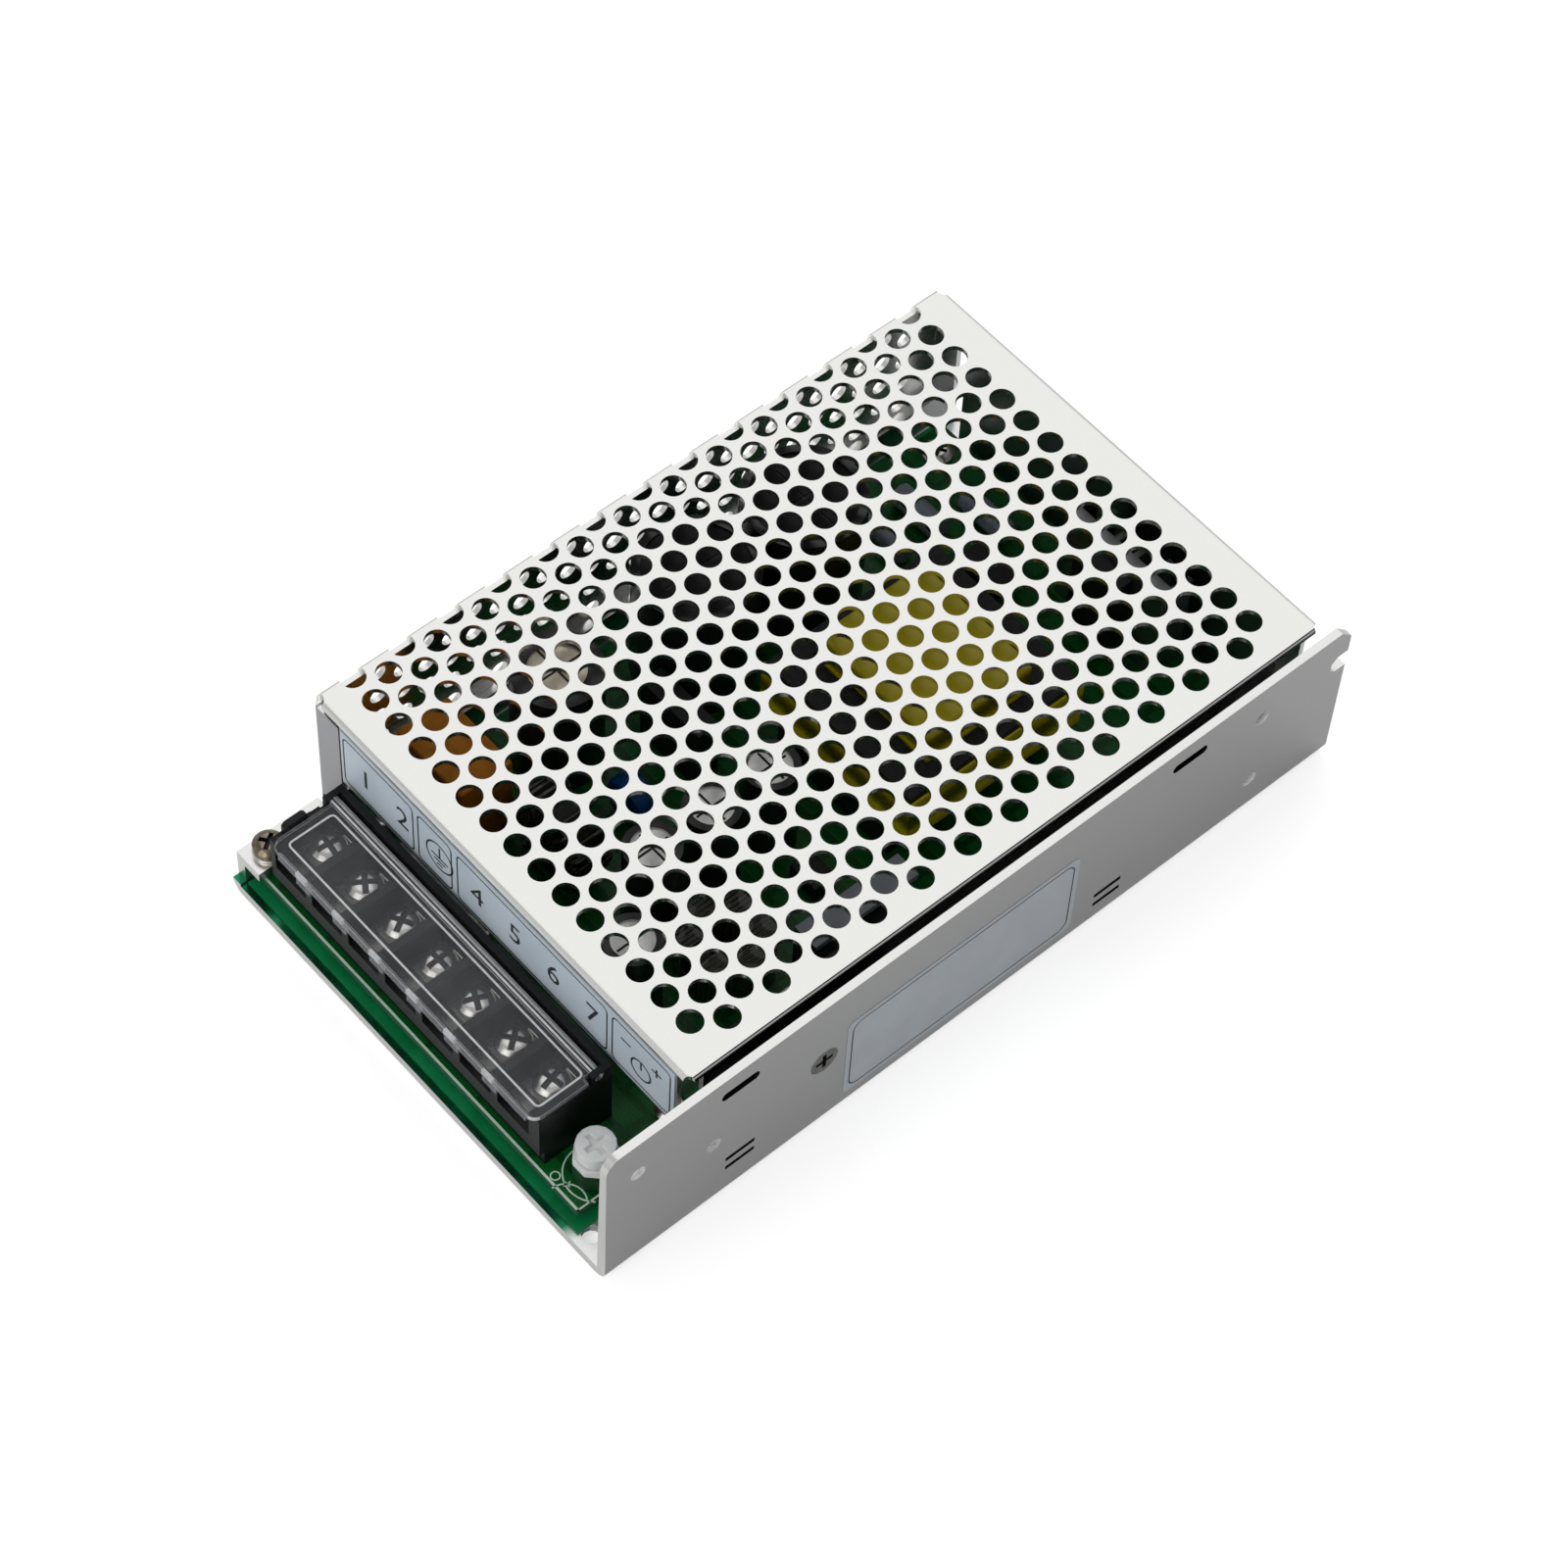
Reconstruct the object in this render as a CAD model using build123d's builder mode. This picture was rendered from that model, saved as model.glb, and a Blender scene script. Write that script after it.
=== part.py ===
import os
from math import cos, radians

from build123d import *

os.makedirs("parts", exist_ok=True)

# Enclosed switching power supply, lying on its base.
# X is the width, Y runs from the terminal end to the rear, Z is up.
# The origin is the middle of the underside.

# Sides of the polygons that stand for small and repeated rounds
fine_sides = 6
bore_sides = 8
round_sides = 12
ring_sides = 12
can_sides = 16
side_hole_sides = 4

# Overall size
case_length = 159.0
case_width = 97.0
case_height = 36.0
front_y = -case_length / 2
rear_y = case_length / 2
left_x = -case_width / 2
right_x = case_width / 2

# Chassis: folded sheet with a base, one full wall on the right and a low lip on the left
chassis_sheet = 2.0
fold_radius = 0.5
label_thickness = 0.1
wall_outer_x = right_x - label_thickness
wall_inner_x = wall_outer_x - chassis_sheet
wall_corner_radius = 3.0
wall_rear_chamfer = 2.5
cover_sheet = 1.0
base_left_x = left_x + cover_sheet
lip_height = 9.0
lip_setback = 1.2
tab_reach = 6.0
tab_rear_y = front_y + 18.0
lip_relief = 1.5
earth_screw_at = (-44.3, front_y + 5.5)
tab_slot_at = (-44.8, front_y + 12.3)
tab_slot_length = 7.4
tab_slot_width = 2.7
tab_pip_at = (-44.5, front_y + 16.6)
tab_pip_radius = 0.6
tapped_hole_radius = 1.5
base_hole_pitch_x = 78.0
base_hole_pitch_y = 120.0
base_front_hole_at = (41.4, -76.4)
base_front_hole_radius = 1.75
wall_mount_holes_at = [(60.0, 27.4), (60.0, 9.7)]
wall_front_holes_at = [(-73.1, 27.2), (-57.7, 18.6)]
wall_slots_at = [(-52.6, 31.2), (43.1, 31.2)]
wall_slot_length = 7.6
wall_slot_width = 2.0
lances_at = [(-52.0, 9.6), (27.6, 7.2)]
lance_length = 6.0
lance_width = 1.0
lance_gap = 2.6
hook_z = 27.4
hook_width = 4.0
hook_depth = 3.6

# Cover: perforated sheet folded over the top and down the left side
cover_front_y = -60.4
cover_rear_y = 75.5
cover_right_x = 45.0
cover_bottom_z = 0.6
front_flange_left_x = -41.5
front_flange_right_x = 42.4
front_flange_bottom_z = 19.5
side_flange_width = 6.6
side_flange_bottom_z = 9.3
flange_gap = 1.0
rear_flange_left_x = -39.4
rear_flange_bottom_z = 2.6
right_lip_front_y = -57.4
right_lip_rear_y = 65.0
right_lip_height = 9.0
relief_radius = 1.3
hole_pitch_x = 6.0
hole_pitch_y = 5.0
hole_radius = 2.25
hole_rows = 25
holes_in_row = 15
first_hole_x = -47.3
first_hole_y = -53.1
side_hole_top_z = 32.2
side_hole_columns = 3
side_hole_share = 0.76
fold_bite = 1.6

# Circuit board and what holds it
board_thickness = 1.6
board_top_z = 6.0
board_left_x = -42.4
board_right_x = 38.6
board_front_y = -77.0
board_rear_y = 73.0
sheet_thickness = 0.3
sheet_margin = 1.2
standoffs_at = [(-37.5, -54.0), (34.2, -54.0), (-37.5, 67.5), (34.2, 67.5)]
standoff_radius = 2.5
screw_core_radius = 1.2
screw_hole_radius = 1.6
pan_head_radius = 2.8
pan_head_height = 2.0
board_screw_length = 3.6
earth_washer_radius = 2.9
earth_washer_thickness = 0.7
earth_screw_length = 2.0

# Terminal block with seven ways
ways = 7
way_pitch = 9.5
first_way_x = -34.8
block_left_x = -39.9
block_right_x = 28.7
block_front_y = -76.6
block_rear_y = -61.8
block_top_z = 20.0
divider = 1.7
screw_y = -68.7
way_rear_y = -64.9
way_floor_z = 13.0
ridge_front_y = -63.0
ridge_top_z = 22.0
rear_wall_top_z = 19.3
sill_step = 1.0
sill_height = 3.4
contact_thickness = 0.8
contact_width = 7.4
contact_front_y = -74.4
pocket_depth = 5.4
pocket_size = 4.2
washer_size = 7.0
washer_thickness = 0.9
washer_hole_radius = 2.2
terminal_head_radius = 3.1
terminal_head_height = 2.2
terminal_shank_radius = 1.6
terminal_shank_length = 6.2
cross_length = 4.0
cross_width = 0.9
cross_depth = 1.0

# Clear lid over the terminals
hinge_y = -64.3
hinge_z = 20.7
hinge_radius = 0.9
hinge_fit = 0.06
hinge_gap = 0.3
ear_thickness = 1.2
ear_length = 3.0
ear_top_z = 21.9
lid_thickness = 1.0
lid_front_y = -77.6
lid_left_inset = 1.5
lid_side_clearance = 0.2
lid_corner_radius = 2.0
lid_ear_gap = 0.7
lid_lip = 0.7
lid_lip_drop = 1.2
lid_lug_length = 3.3
lid_lug_drop = 1.4
catch_y = (-74.2, -69.6)
catch_thickness = 1.2
catch_top_z = 22.2

# Output adjuster
trimmer_at = (35.0, -70.3)
trimmer_flats = 7.2
trimmer_body_top_z = 12.2
rotor_gap = 0.3
rotor_radius = 3.4
rotor_height = 2.8
rotor_stem_radius = 1.5
rotor_stem_length = 3.0
rotor_fit = 0.05

# Labels
strip_thickness = 0.2
strip_left_x = -41.2
strip_right_x = 42.0
strip_bottom_z = 20.4
strip_top_z = 34.4
label_front_y = -30.2
label_rear_y = 19.6
label_bottom_z = 4.3
label_top_z = 25.6
label_corner_radius = 2.0

# Mains side parts on the board
fuse_at = (-20.0, -56.5)
fuse_length = 20.0
fuse_radius = 2.5
fuse_axis_z = 10.2
fuse_cap_length = 5.0
fuse_clip_wall = 0.5
film_capacitor_at = (-33.0, -44.0)
film_capacitor_size = (17.0, 11.0, 18.0)
thermistor_at = (-16.5, -49.0)
thermistor_radius = 5.5
thermistor_thickness = 4.0
line_choke_at = (-13.5, -37.5)
line_choke_radius = 8.0
line_choke_bore = 4.4
line_choke_thickness = 6.5
line_choke_axis_z = 15.4
winding_wall = 1.2
choke_window = 3.0
bridge_at = (-18.0, -8.5)
bridge_size = (15.0, 4.6, 15.0)
primary_capacitor_at = (-31.0, -24.0)
primary_capacitor_radius = 8.0
primary_capacitor_height = 24.0
bulk_capacitors_at = [(-30.6, 5.5), (-30.6, 29.0)]
bulk_capacitor_radius = 11.0
bulk_capacitor_height = 27.0
blue_capacitors_at = [(-13.0, -22.5), (-2.5, -50.0)]
blue_capacitor_radius = 5.0
blue_capacitor_thickness = 4.6

# Transformer
transformer_at = (5.5, 24.0)
core_size = (36.0, 38.0, 13.0)
core_back = 7.0
core_leg = 4.0
core_centre_leg = 11.0
core_axis_z = 20.0
winding_gap = 0.4
winding_size_z = 25.0
core_tape_thickness = 0.4
core_tape_width = 11.0

# Switching side
heatsink_at = (9.0, 65.0)
heatsink_size = (24.0, 3.0, 22.0)
fin_depth = 4.0
fin_thickness = 1.2
fins = 6
device_size = (10.0, 4.5, 15.5)
device_bottom_z = 11.0
lead_width = 0.8
lead_pitch = 2.54
chip_at = (-12.0, 56.0)
chip_size = (9.6, 6.4, 3.4)
chip_leg = 0.8
chip_legs_per_side = 4
resistors_at = [(-29.0, 47.5), (-29.0, 55.5), (-21.0, 64.0)]
resistor_radius = 2.4
resistor_length = 11.0
snubber_at = (-12.5, 46.5)
snubber_size = (10.0, 4.5, 9.0)

# Output side
spreader_front_y = -50.0
spreader_rear_y = -17.0
spreader_thickness = 4.6
spreader_bottom_z = 8.0
spreader_top_z = 25.0
clamp_screw_at = (-34.9, 19.7)
clamp_screw_head_radius = 2.9
clamp_screw_head_depth = 1.5
countersink_slope = 42
rectifiers_y = [-42.4, -27.4]
pad_thickness = 0.3
clamp_bar_length = 28.0
clamp_bar_height = 5.0
clamp_bar_thickness = 1.6
output_heatsink_at = (30.6, -14.0)
output_heatsink_size = (2.4, 22.0, 20.0)
output_fins = 4
output_choke_at = (18.6, -29.5)
output_choke_radius = 7.4
output_choke_bore = 4.0
output_choke_thickness = 7.0
output_capacitors_at = [(4.0, -33.0), (4.0, -20.5), (4.0, -8.0), (15.4, -46.6)]
output_capacitor_radius = 5.0
output_capacitor_height = 21.0
optocoupler_at = (15.6, -8.0)
optocoupler_size = (6.4, 4.6, 3.5)

# Fasteners of the cover, on the left side
cover_screws_y = [-42.0, 55.0]
cover_screw_z = 5.4
cover_screw_length = 3.4


def finish(part, name):
    part.label = name
    export_step(part, f"parts/{name}.step")


def way_locations():
    return [(first_way_x + way_pitch * k, screw_y) for k in range(ways)]


def polygon_radius(flats, sides):
    return flats / 2 / cos(radians(180 / sides))


def slot_outline(length, width):
    """A slot with eight-sided ends."""
    Rectangle(length - width, width)
    with Locations((-(length - width) / 2, 0), ((length - width) / 2, 0)):
        RegularPolygon(polygon_radius(width, bore_sides), bore_sides, rotation=22.5)


# Chassis

board_bottom_z = board_top_z - board_thickness

with BuildPart() as chassis:
    with BuildSketch(Plane.XZ):
        with BuildLine():
            Polyline(
                (base_left_x, lip_height),
                (base_left_x, 0),
                (wall_outer_x, 0),
                (wall_outer_x, case_height),
                (wall_inner_x, case_height),
                (wall_inner_x, chassis_sheet),
                (base_left_x + chassis_sheet, chassis_sheet),
                (base_left_x + chassis_sheet, lip_height),
                close=True,
            )
        profile = make_face()
        outer = profile.vertices().group_by(Axis.Y)[0].sort_by(Axis.X)
        inner = profile.vertices().group_by(Axis.Y)[1]
        fillet(outer, fold_radius + chassis_sheet)
        fillet(inner, fold_radius)
    extrude(amount=case_length / 2, both=True)

    # The lip stops short of the front edge, and a relief splits the earth tab from the rest of it
    lip_cut_bottom_z = fold_radius + chassis_sheet
    with Locations((base_left_x, front_y, lip_cut_bottom_z)):
        Box(
            2 * chassis_sheet,
            lip_setback,
            lip_height,
            align=(Align.MIN, Align.MIN, Align.MIN),
            mode=Mode.SUBTRACT,
        )
    with Locations((base_left_x, tab_rear_y, lip_cut_bottom_z)):
        Box(
            2 * chassis_sheet,
            lip_relief,
            lip_height,
            align=(Align.MIN, Align.MIN, Align.MIN),
            mode=Mode.SUBTRACT,
        )

    # Earth tab, turned in from the top of the lip, with its screw hole, slot and pip
    tab_plane = Plane.XY.offset(lip_height - chassis_sheet)
    with BuildSketch(tab_plane):
        with Locations((base_left_x, front_y + lip_setback)):
            Rectangle(
                tab_reach,
                tab_rear_y - front_y - lip_setback,
                align=(Align.MIN, Align.MIN),
            )
    extrude(amount=chassis_sheet)
    with BuildSketch(tab_plane):
        with Locations(earth_screw_at):
            RegularPolygon(polygon_radius(2 * tapped_hole_radius, bore_sides), bore_sides)
        with Locations(Location((*tab_slot_at, 0), (0, 0, 90))):
            slot_outline(tab_slot_length, tab_slot_width)
        with Locations(tab_pip_at):
            RegularPolygon(tab_pip_radius, fine_sides)
    extrude(amount=chassis_sheet, mode=Mode.SUBTRACT)

    # Base holes
    with BuildSketch(Plane.XY):
        with GridLocations(base_hole_pitch_x, base_hole_pitch_y, 2, 2):
            Circle(tapped_hole_radius)
        with Locations(base_front_hole_at):
            RegularPolygon(base_front_hole_radius, round_sides)
    extrude(amount=chassis_sheet, mode=Mode.SUBTRACT)

    # Right wall: rounded front corner, chamfered rear corners
    wall_edges = chassis.edges().filter_by(Axis.X).group_by(Axis.Z)[-1].sort_by(Axis.Y)
    fillet(wall_edges[0], wall_corner_radius)
    chamfer(wall_edges[-1], wall_rear_chamfer)

    # Right wall: tapped holes, lip slots, lances, the clamp screw's countersink and the rear hook slot
    wall_plane = Plane(origin=(wall_outer_x, 0, 0), x_dir=(0, 1, 0), z_dir=(1, 0, 0))
    with BuildSketch(wall_plane):
        with Locations(wall_mount_holes_at):
            Circle(tapped_hole_radius)
        with Locations(wall_front_holes_at):
            RegularPolygon(tapped_hole_radius, round_sides)
        with Locations(clamp_screw_at):
            RegularPolygon(polygon_radius(2 * screw_hole_radius, bore_sides), bore_sides)
        with Locations(wall_slots_at):
            slot_outline(wall_slot_length, wall_slot_width)
        for y, z in lances_at:
            with Locations((y, z - lance_gap / 2), (y, z + lance_gap / 2)):
                Rectangle(lance_length, lance_width)
        with Locations((rear_y, hook_z)):
            slot_outline(2 * hook_depth, hook_width)
    extrude(amount=-chassis_sheet, mode=Mode.SUBTRACT)
    with BuildSketch(wall_plane):
        with Locations(clamp_screw_at):
            RegularPolygon(clamp_screw_head_radius, round_sides)
    extrude(amount=-clamp_screw_head_depth, taper=countersink_slope, mode=Mode.SUBTRACT)

    # Left lip: holes for the cover screws
    lip_plane = Plane(origin=(base_left_x, 0, 0), x_dir=(0, 1, 0), z_dir=(1, 0, 0))
    with BuildSketch(lip_plane):
        with Locations([(y, cover_screw_z) for y in cover_screws_y]):
            RegularPolygon(polygon_radius(2 * tapped_hole_radius, bore_sides), bore_sides)
    extrude(amount=chassis_sheet, mode=Mode.SUBTRACT)

finish(chassis.part, "chassis")


# Perforated cover

cover_length = cover_rear_y - cover_front_y
top_under_z = case_height - cover_sheet
left_inner_x = left_x + cover_sheet


def top_holes():
    """The staggered pattern of the top: every second row starts half a pitch further in."""
    return [
        (first_hole_x + hole_pitch_x * (k + 0.5 * (row % 2)), first_hole_y + hole_pitch_y * row)
        for row in range(hole_rows)
        for k in range(holes_in_row)
    ]


def side_holes():
    """The same pattern carried on over the fold and down the left side."""
    return [
        (first_hole_y + hole_pitch_y * row, side_hole_top_z - hole_pitch_x / 2 * column)
        for column in range(side_hole_columns)
        for row in range((column + 1) % 2, hole_rows, 2)
    ]


def punched_face(corner, opposite, hole, places):
    """The face of a flat sheet between two corners, with the same hole punched at every place."""
    (x, y), (far_x, far_y) = corner, opposite
    outline = Pos((x + far_x) / 2, (y + far_y) / 2) * Rectangle(far_x - x, far_y - y)
    return Face(outline.wire(), [(Pos(*at) * hole).wire() for at in places])


top_hole = RegularPolygon(polygon_radius(2 * hole_radius, fine_sides), fine_sides, rotation=30)
side_hole = RegularPolygon(side_hole_share * polygon_radius(2 * hole_radius, side_hole_sides), side_hole_sides)
top_face = punched_face(
    (left_inner_x, cover_front_y),
    (cover_right_x, cover_rear_y),
    top_hole,
    [at for at in top_holes() if at[0] > first_hole_x],
)
side_face = punched_face(
    (cover_front_y, cover_bottom_z),
    (cover_rear_y, top_under_z),
    side_hole,
    side_holes(),
)

with BuildPart() as cover:
    # Fold between the top and the left side
    with BuildSketch(Plane.XZ.offset(-cover_front_y)):
        with Locations((left_inner_x, top_under_z)):
            RegularPolygon(cover_sheet, round_sides)
            with Locations((cover_sheet, 0), (0, -cover_sheet)):
                Rectangle(2 * cover_sheet, 2 * cover_sheet, mode=Mode.SUBTRACT)
    extrude(amount=-cover_length)

    # Lip turned down along the right wall
    with Locations((cover_right_x, right_lip_front_y, top_under_z)):
        Box(
            cover_sheet,
            right_lip_rear_y - right_lip_front_y,
            right_lip_height,
            align=(Align.MAX, Align.MIN, Align.MAX),
        )

    # Front flange over the terminals and rear flange down to the base
    for y, side, bottom_z, start_x in (
        (cover_front_y, Align.MIN, front_flange_bottom_z, front_flange_left_x),
        (cover_rear_y, Align.MAX, rear_flange_bottom_z, rear_flange_left_x),
    ):
        with Locations((start_x, y, top_under_z)):
            Box(
                front_flange_right_x - start_x,
                cover_sheet,
                top_under_z - bottom_z,
                align=(Align.MIN, side, Align.MAX),
            )

        # Flange turned in from the end of the left side, clear of the top
        with Locations((left_inner_x, y, top_under_z - flange_gap)):
            Box(
                side_flange_width - cover_sheet,
                cover_sheet,
                top_under_z - flange_gap - side_flange_bottom_z,
                align=(Align.MIN, side, Align.MAX),
            )

    # Left side and top, punched all over
    with BuildSketch(Plane(origin=(left_x, 0, 0), x_dir=(0, 1, 0), z_dir=(1, 0, 0))):
        add(side_face)
    extrude(amount=cover_sheet)
    with BuildSketch(Plane.XY.offset(top_under_z)):
        add(top_face)
    extrude(amount=cover_sheet)

    # Holes that bite into the fold, and round reliefs at the folded corners
    with BuildSketch(Plane.XY.offset(case_height)):
        with Locations([at for at in top_holes() if at[0] == first_hole_x]):
            RegularPolygon(polygon_radius(2 * hole_radius, fine_sides), fine_sides, rotation=30)
        with Locations(
            (left_inner_x, cover_front_y),
            (left_inner_x, cover_rear_y),
            (cover_right_x, cover_front_y),
            (cover_right_x, cover_rear_y),
        ):
            RegularPolygon(relief_radius, bore_sides)
    extrude(amount=-fold_bite, mode=Mode.SUBTRACT)

    # Screw holes at the foot of the left side
    with BuildSketch(Plane(origin=(left_x, 0, 0), x_dir=(0, 1, 0), z_dir=(1, 0, 0))):
        with Locations([(y, cover_screw_z) for y in cover_screws_y]):
            RegularPolygon(polygon_radius(2 * screw_hole_radius, bore_sides), bore_sides)
    extrude(amount=cover_sheet, mode=Mode.SUBTRACT)

finish(cover.part, "cover")


# Insulating sheet, board and its fasteners

with BuildPart() as insulation_sheet:
    with BuildSketch(Plane.XY.offset(chassis_sheet)):
        with Locations((base_left_x + chassis_sheet + sheet_margin / 4, board_front_y - sheet_margin)):
            Rectangle(
                board_right_x + sheet_margin - base_left_x - chassis_sheet,
                board_rear_y - board_front_y + 2 * sheet_margin,
                align=(Align.MIN, Align.MIN),
            )
        with Locations(standoffs_at):
            RegularPolygon(standoff_radius + sheet_thickness, fine_sides, mode=Mode.SUBTRACT)
    extrude(amount=sheet_thickness)
finish(insulation_sheet.part, "insulation_sheet")

with BuildPart() as circuit_board:
    with BuildSketch(Plane.XY.offset(board_bottom_z)):
        with Locations((board_left_x, board_front_y)):
            Rectangle(
                board_right_x - board_left_x,
                board_rear_y - board_front_y,
                align=(Align.MIN, Align.MIN),
            )
        with Locations(standoffs_at):
            RegularPolygon(screw_hole_radius, fine_sides, mode=Mode.SUBTRACT)
    extrude(amount=board_thickness)
finish(circuit_board.part, "circuit_board")

with BuildPart() as board_standoffs:
    with BuildSketch(Plane.XY.offset(chassis_sheet)):
        with Locations(standoffs_at):
            RegularPolygon(standoff_radius, fine_sides)
            RegularPolygon(screw_core_radius, fine_sides, mode=Mode.SUBTRACT)
    extrude(amount=board_bottom_z - chassis_sheet)
finish(board_standoffs.part, "board_standoffs")

with BuildPart() as board_screws:
    with BuildSketch(Plane.XY.offset(board_top_z)):
        with Locations(standoffs_at):
            RegularPolygon(pan_head_radius, round_sides)
    extrude(amount=pan_head_height)
    with BuildSketch(Plane.XY.offset(board_top_z)):
        with Locations(standoffs_at):
            RegularPolygon(screw_core_radius, fine_sides)
    extrude(amount=-board_screw_length)
finish(board_screws.part, "board_screws")

with BuildPart() as earth_washer:
    with BuildSketch(Plane.XY.offset(lip_height)):
        with Locations(earth_screw_at):
            RegularPolygon(earth_washer_radius, round_sides)
            RegularPolygon(polygon_radius(2 * tapped_hole_radius, bore_sides), bore_sides, mode=Mode.SUBTRACT)
    extrude(amount=earth_washer_thickness)
finish(earth_washer.part, "earth_washer")

with BuildPart() as earth_screw:
    head_z = lip_height + earth_washer_thickness
    with BuildSketch(Plane.XY.offset(head_z)):
        with Locations(earth_screw_at):
            RegularPolygon(pan_head_radius, round_sides)
    extrude(amount=pan_head_height)
    with BuildSketch(Plane.XY.offset(head_z)):
        with Locations(earth_screw_at):
            RegularPolygon(tapped_hole_radius, bore_sides)
    extrude(amount=-earth_washer_thickness - earth_screw_length)
    with BuildSketch(Plane.XY.offset(head_z + pan_head_height)):
        with Locations(earth_screw_at):
            Rectangle(cross_length, cross_width)
    extrude(amount=-cross_depth, mode=Mode.SUBTRACT)
finish(earth_screw.part, "earth_screw")

with BuildPart() as cover_screws:
    screw_plane = Plane(origin=(left_x, 0, 0), x_dir=(0, 1, 0), z_dir=(1, 0, 0))
    with BuildSketch(screw_plane):
        with Locations([(y, cover_screw_z) for y in cover_screws_y]):
            RegularPolygon(tapped_hole_radius, bore_sides)
    extrude(amount=cover_screw_length)
finish(cover_screws.part, "cover_screws")


# Terminal block

def box_between(x, y, z, mode=Mode.ADD):
    """A box given by its lowest and highest coordinate on each axis."""
    with Locations((x[0], y[0], z[0])):
        Box(x[1] - x[0], y[1] - y[0], z[1] - z[0], align=(Align.MIN, Align.MIN, Align.MIN), mode=mode)


block_width = block_right_x - block_left_x
ear_front_y = hinge_y - ear_length / 2
ear_rear_y = hinge_y + ear_length / 2
ears_x = (
    (block_left_x, block_left_x + ear_thickness),
    (block_right_x - ear_thickness, block_right_x),
)
contact_top_z = way_floor_z + contact_thickness

with BuildPart() as terminal_block:
    # Side profile: stepped sill in front, low wall under the lid's hinge and a ridge at the back
    with BuildSketch(Plane.YZ.offset(block_left_x)):
        with BuildLine():
            Polyline(
                (block_front_y + sill_step, board_top_z),
                (block_rear_y, board_top_z),
                (block_rear_y, ridge_top_z),
                (ridge_front_y, ridge_top_z),
                (ridge_front_y, rear_wall_top_z),
                (way_rear_y - divider, rear_wall_top_z),
                (way_rear_y - divider, block_top_z),
                (block_front_y, block_top_z),
                (block_front_y, way_floor_z - sill_height),
                (block_front_y + sill_step, way_floor_z - sill_height),
                close=True,
            )
        make_face()
    extrude(amount=block_width)

    # Seven ways, open to the front and to the top
    with Locations([(x, block_front_y, way_floor_z) for x, _ in way_locations()]):
        Box(
            way_pitch - divider,
            way_rear_y - block_front_y,
            ridge_top_z - way_floor_z,
            align=(Align.CENTER, Align.MIN, Align.MIN),
            mode=Mode.SUBTRACT,
        )

    # Pockets below the contacts for the screw ends
    with BuildSketch(Plane.XY.offset(way_floor_z)):
        with Locations(way_locations()):
            Rectangle(pocket_size, pocket_size)
    extrude(amount=-pocket_depth, mode=Mode.SUBTRACT)

    # Ears that hold the lid's pins
    for x in ears_x:
        box_between(x, (ear_front_y, ear_rear_y), (rear_wall_top_z, ear_top_z))
    with BuildSketch(Plane.YZ.offset(block_left_x)):
        with Locations((hinge_y, hinge_z)):
            RegularPolygon(polygon_radius(2 * (hinge_radius + hinge_fit), bore_sides), bore_sides)
    extrude(amount=block_width, mode=Mode.SUBTRACT)

    # Round-shouldered catch beside the lid, on the left end wall
    with BuildSketch(Plane.YZ.offset(block_left_x)) as catch_outline:
        with Locations((catch_y[0], block_top_z)):
            Rectangle(catch_y[1] - catch_y[0], catch_top_z - block_top_z, align=(Align.MIN, Align.MIN))
        chamfer(catch_outline.vertices().group_by(Axis.Y)[-1], catch_thickness / 2)
    extrude(amount=catch_thickness)
finish(terminal_block.part, "terminal_block")

with BuildPart() as terminal_contacts:
    with BuildSketch(Plane.XY.offset(way_floor_z)):
        with Locations([(x, contact_front_y) for x, _ in way_locations()]):
            Rectangle(contact_width, way_rear_y - contact_front_y, align=(Align.CENTER, Align.MIN))
        with Locations(way_locations()):
            RegularPolygon(washer_hole_radius, fine_sides, mode=Mode.SUBTRACT)
    extrude(amount=contact_thickness)
finish(terminal_contacts.part, "terminal_contacts")


def make_washer(x, y):
    """Square captive washer, kept from turning by the walls of its way."""
    with BuildPart() as washer:
        with BuildSketch(Plane.XY.offset(contact_top_z)):
            with Locations((x, y)):
                Rectangle(washer_size, washer_size)
                RegularPolygon(washer_hole_radius, fine_sides, mode=Mode.SUBTRACT)
        extrude(amount=washer_thickness)
    return washer.part


def make_terminal_screw(x, y):
    """Pan head screw with a driver slot, tightened down on its washer."""
    under_head_z = contact_top_z + washer_thickness
    with BuildPart() as screw:
        with BuildSketch(Plane.XY.offset(under_head_z)):
            with Locations((x, y)):
                RegularPolygon(terminal_head_radius, round_sides)
        extrude(amount=terminal_head_height)
        with BuildSketch(Plane.XY.offset(under_head_z)):
            with Locations((x, y)):
                RegularPolygon(terminal_shank_radius, fine_sides)
        extrude(amount=-terminal_shank_length)
        with BuildSketch(Plane.XY.offset(under_head_z + terminal_head_height)):
            with Locations((x, y)):
                Rectangle(cross_length, cross_width)
        extrude(amount=-cross_depth, mode=Mode.SUBTRACT)
    return screw.part


for number, (x, y) in enumerate(way_locations(), 1):
    finish(make_washer(x, y), f"terminal_washer_{number}")
    finish(make_terminal_screw(x, y), f"terminal_screw_{number}")


# Clear lid

lid_bottom_z = hinge_z - lid_thickness / 2
lid_left_x = block_left_x + lid_left_inset
lid_right_x = block_right_x - lid_side_clearance
pins_left_x = block_left_x + lid_side_clearance
lid_lug_x = [x + way_pitch / 2 for x, _ in way_locations()][:-1]

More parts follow.
